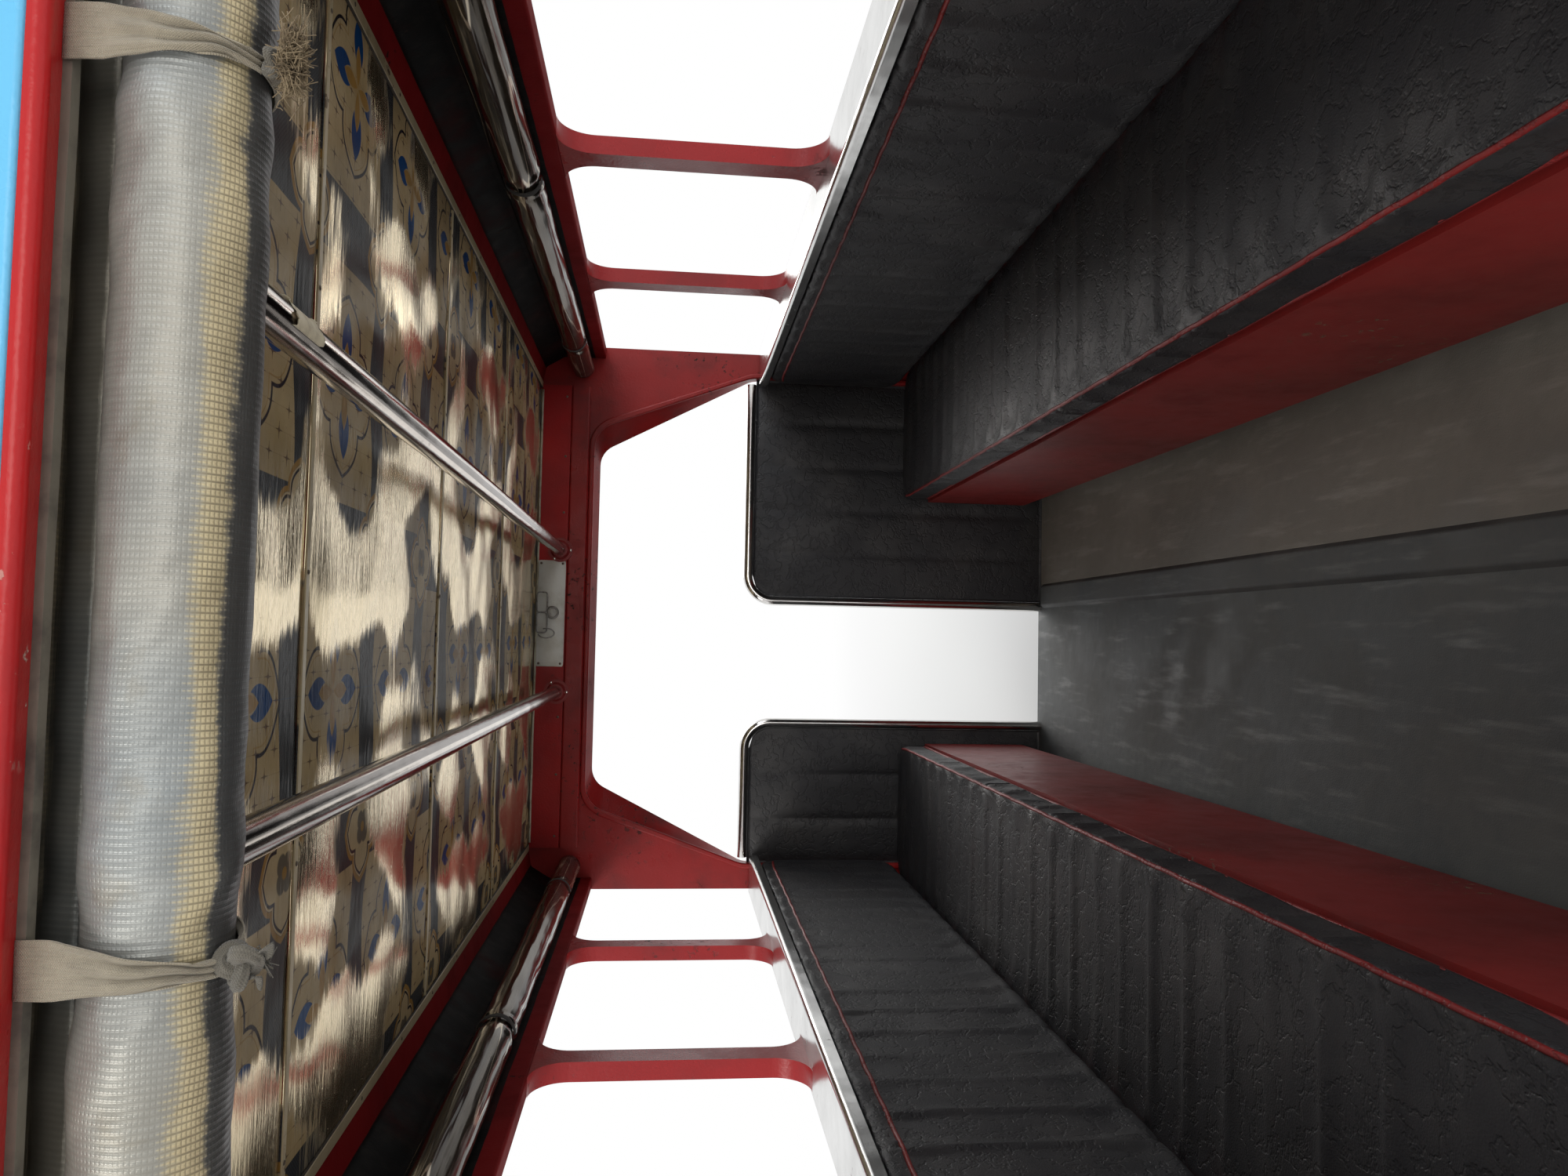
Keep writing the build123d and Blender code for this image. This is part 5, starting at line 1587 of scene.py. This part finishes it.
@dataclass
class SideRolls:
    """Rolled clear curtains at the windows' heads, held up by narrow dark loops."""

    loops: tuple[float, ...] = (-0.86, 0.12, 1.06)
    drop: float = 0.046
    half: float = 0.007

    def build(self, looks: Looks) -> None:
        """Winds both rolls, and lays a loop round each at the given stations."""
        for side, way in (("right", 1.0), ("left", -1.0)):
            node = f"side_curtain_roll_{side}"
            low, high = edges_of(node)
            reach, middle = (high[0] - low[0]) / 2, (low + high) / 2
            RolledCurtain(node, f"cantrail_{side}", f"curtain_side_{side}", "curtain_clear", along=1,
                          pitch=0.0042, turns=5.5, thickness=0.0006, head=(reach - 0.0004, self.drop),
                          squeezes=self.loops, ruffle=0.0014, seed=8 + int(way), way=way, tight=0.0022,
                          proud=-0.0002).build(looks["smoke"])
            angle, across = np.meshgrid(np.radians(np.linspace(88, 270, 30)),
                                        np.linspace(-self.half, self.half, 7), indexing="ij")
            mesh = Mesh()
            for index, spot in enumerate(self.loops):
                out = reach - 0.0026 + 0.0003 * np.cos(angle * 5 + index)
                slant = 0.004 * math.sin(index * 1.7 + 1) * (angle - angle[0, 0])
                points = together(middle[0] + way * out * np.cos(angle), spot + across + slant,
                                  middle[2] + out * np.sin(angle))
                mesh.add(points, quads(*angle.shape), together(across, angle * reach))
            mesh.piece(f"side_loops_{side}", looks["webbing"], "curtain_clear", sheet=0.0009)


@dataclass
class Studio:
    """Pale floor, soft lights, white surroundings and the photograph's camera.

    Each light is a name, a place, an aim, a size, a power and a tint.
    """

    reach: float = 20.0
    eye: Triple = (-0.0567, -1.578, 1.2148)
    turns: Triple = (2.765, 5.973, 1.447)
    focus: float = 1388.0 / 2000.0
    lights: tuple[tuple[str, Triple, Triple, float, float, Colour], ...] = (
        ("key", (-4.2, -4.4, 4.2), (0, 0, 1.0), 3.0, 165.0, (1.0, 0.97, 0.92)),
        ("fill", (4.6, -2.6, 3.0), (0, 0, 0.9), 3.0, 105.0, (0.92, 0.96, 1.0)),
        ("front", (1.5, 5.4, 3.4), (0, 0, 0.9), 3.0, 110.0, (1.0, 0.98, 0.95)),
        ("doorway", (0.5, -3.9, 1.5), (0, 0.2, 1.25), 1.6, 22.0, (1.0, 0.96, 0.90)))

    def build(self) -> None:
        """Sets the whole stage."""
        self.floor()
        self.world()
        for light in self.lights:
            self.light(*light)
        self.camera()
        bpy.context.scene.view_settings.view_transform = "Standard"

    def floor(self) -> None:
        """One wide pale plane under the runners, which fades into the white surroundings far off."""
        data = bpy.data.meshes.new("studio_floor")
        corners = [(x * self.reach, y * self.reach, 0) for x, y in ((-1, -1), (1, -1), (1, 1), (-1, 1))]
        data.from_pydata(corners, [], [(0, 1, 2, 3)])
        shade = Shade("studio_floor")
        far = (shade.x * shade.x + shade.y * shade.y).power(0.5).step(2.6, 6.5)
        white = shade.node("ShaderNodeEmission", {}, {"Color": (1.0, 1.0, 1.0), "Strength": 1.0})
        plain = shade.node("ShaderNodeBsdfPrincipled", {},
                           {"Base Color": (0.80, 0.80, 0.79), "Roughness": 0.8})
        shade.mixed(far * shade.seen(), plain, white, "ShaderNodeOutputMaterial")
        data.materials.append(shade.material)
        placed("studio_floor", data)

    @staticmethod
    def world() -> None:
        """White to the eye, in mirrors and through glass; softer as a light."""
        world = bpy.context.scene.world = bpy.data.worlds.new("studio")
        shade = Shade("studio", None, world)
        dim, white = (shade.node("ShaderNodeBackground", {}, {0: colour, 1: power})
                      for colour, power in (((0.94, 0.97, 1.0), 0.55), ((1.0, 1.0, 1.0), 1.0)))
        shade.mixed(shade.seen(), dim, white, "ShaderNodeOutputWorld")

    @staticmethod
    def light(name: str, place: Triple, aim: Triple, size: float, power: float, tint: Colour) -> None:
        """One large soft disc, turned from its place to its aim and hidden from the eye."""
        data = bpy.data.lights.new(name, "AREA")
        data.shape, data.size, data.energy, data.color = "DISK", size, power, tint
        lamp = placed(name, data)
        lamp.location = place
        lamp.rotation_euler = (Vector(aim) - Vector(place)).to_track_quat("-Z", "Y").to_euler()
        lamp.visible_camera = False

    def camera(self) -> None:
        """The eye behind the doorway; the picture is stored on its side, so up is to its left."""
        yaw, pitch, roll = (math.radians(turn) for turn in self.turns)
        ahead = Vector((math.sin(yaw) * math.cos(pitch), math.cos(yaw) * math.cos(pitch), -math.sin(pitch)))
        level = Vector((math.cos(yaw), -math.sin(yaw), 0.0))
        above = level.cross(ahead)
        right = math.cos(roll) * level + math.sin(roll) * above
        up = math.cos(roll) * above - math.sin(roll) * level
        data = bpy.data.cameras.new("photograph")
        data.sensor_width, data.lens = 36.0, self.focus * 36.0
        data.clip_start, data.clip_end = 0.02, 100.0
        eye = placed("photograph", data)
        turned = Matrix((-up, right, -ahead)).transposed().to_4x4()
        eye.matrix_world = Matrix.Translation(self.eye) @ turned
        bpy.context.scene.camera = eye


def finishes() -> Looks:
    """Every finish of the cabin, by the name that the sub-assemblies use."""
    red, worn = (0.40, 0.014, 0.016), (0.29, 0.012, 0.013)
    cream, band = (0.66, 0.60, 0.44), (0.15, 0.52, 0.82)
    lines = ((0.150, 0.156, cream), (0.168, 0.262, band), (0.274, 0.280, cream),
             (0.862, 0.866, cream), (0.876, 0.892, band), (0.902, 0.906, cream))
    made = {
        "lining": TileLining(),
        "red": Enamel("red_enamel", red, worn, chips=0.7),
        "board_red": Enamel("board_enamel", (0.38, 0.012, 0.014), (0.27, 0.011, 0.012), chips=0.2, gloss=0.34,
                            shine=0.25),
        "frame": Enamel("frame_enamel", (0.34, 0.016, 0.016), (0.21, 0.014, 0.013), (0.022, 0.016, 0.013),
                        1.2, 0.3, 0.75, 0.3),
        "cove": CoveEnamel("cove_enamel", (0.25, 0.012, 0.013), (0.20, 0.010, 0.011), chips=0.1, gloss=0.62,
                            shine=0.04),
        "red_edge": Enamel("edge_enamel", (0.46, 0.010, 0.012), (0.38, 0.009, 0.011), (0.55, 0.50, 0.42), 0.2,
                           0.3),
        "blue": Enamel("fascia_enamel", band, (0.12, 0.45, 0.75), (0.30, 0.28, 0.25), 0.2, 0.25, 0.2),
        "wall": BandedEnamel("wall_enamel", red, worn, chips=0.4, lines=lines),
        "black": Enamel("chassis_paint", (0.030, 0.030, 0.033), (0.05, 0.046, 0.042), (0.12, 0.06, 0.035),
                        0.8, 0.5),
        "board": Enamel("bench_paint", (0.26, 0.020, 0.018), (0.17, 0.016, 0.014), (0.16, 0.10, 0.06), 0.6,
                        0.4),
        "cream": Enamel("cream_trim", (0.58, 0.49, 0.31), (0.42, 0.34, 0.20), (0.10, 0.06, 0.04), 0.4, 0.35,
                        0.5),
        "tube": Bright("bright_tube"),
        "rail": Bright("rail_tube", (0.68, 0.61, 0.54), 0.095, tarnish=0.8,
                       painted=edges_of("handrail_left")[1][1] - 0.016),
        "mirror": Bright("mirror_steel", (0.80, 0.77, 0.73), 0.045, (1.0, 40.0, 40.0), 0.4, 0.00025),
        "sill": Bright("sill_steel", (0.66, 0.66, 0.65), 0.16, (60.0, 1.0, 60.0), 0.5, 0.0006),
        "plate_steel": Bright("tread_steel", (0.52, 0.52, 0.51), 0.26, (1.0, 30.0, 30.0), 0.8, 0.0008),
        "zinc": Galvanised(),
        "floor_dark": FloorSheet("floor_dark", (0.050, 0.056, 0.058), (0.115, 0.118, 0.112)),
        "floor_pale": FloorSheet("floor_pale", (0.165, 0.152, 0.128), (0.25, 0.235, 0.205)),
        "mesh": MeshVinyl(),
        "smoke": SmokeVinyl(),
        "seat": Upholstery("seat_vinyl", (0.022, 0.022, 0.025), (0.050, 0.048, 0.048)),
        "piping": Upholstery("piping_vinyl", (0.20, 0.014, 0.014), (0.27, 0.022, 0.020)),
        "tape_cloth": ClothTape(),
        "knot_cloth": ClothTape("knot_cloth", (0.150, 0.135, 0.108)),
        "fray": Plain("frayed_cotton", (0.25, 0.19, 0.115), (0.11, 0.080, 0.05), 0.9, 120.0),
        "tape": Plain("rail_tape", (0.84, 0.76, 0.56), (0.62, 0.54, 0.38), 0.55, 60.0),
        "plate": Plain("blank_plate", (0.70, 0.70, 0.66), (0.52, 0.50, 0.43), 0.35, 14.0),
        "wire": Plain("lamp_wire", (0.30, 0.29, 0.28), (0.12, 0.10, 0.09), 0.35, 90.0, 0.9),
        "glass": Plain("lamp_glass", (0.42, 0.41, 0.38), (0.20, 0.18, 0.16), 0.15, 70.0),
        # Grime and painted shadow in the lining's joints
        "dirt_and_shadow": Plain("joint_dirt_and_shadow", (0.045, 0.034, 0.022), (0.018, 0.014, 0.010), 0.8, 60.0),
        "bead": Plain("bead_paint", (0.50, 0.47, 0.36), (0.26, 0.22, 0.15), 0.45, 25.0),
        "dusty": Plain("dusty_strip", (0.20, 0.18, 0.145), (0.09, 0.08, 0.07), 0.55, 30.0, 0.3),
        "webbing": Plain("dark_webbing", (0.022, 0.021, 0.020), (0.05, 0.046, 0.04), 0.8, 200.0),
        "rust": Plain("old_screws", (0.19, 0.15, 0.12), (0.07, 0.045, 0.03), 0.5, 300.0, 0.7),
        "lens": LampLens(),
    }
    return {name: finish.build() for name, finish in made.items()}


def main() -> None:
    """Builds the stage, dresses the CAD nodes and makes the pieces."""
    logging.basicConfig(level=logging.INFO, format="%(name)s %(message)s")
    Studio().build()
    looks = finishes()
    for part in (Shell(), Ceiling(), Handrails(), FrontBulkhead(), RearFrame(), Bench()):
        part.build(looks)
    ties = Ties()
    RolledCurtain("rear_curtain_roll", "rear_header_soffit", "curtain_rear", "curtain_mesh", along=0,
                  pitch=0.0030, turns=8.0, thickness=0.0007, head=(0.0175, 0.0400), squeezes=ties.places,
                  ruffle=0.0013, seed=3).build(looks["mesh"])
    ties.build(looks)
    SideRolls().build(looks)


if __name__ == "__main__":
    main()
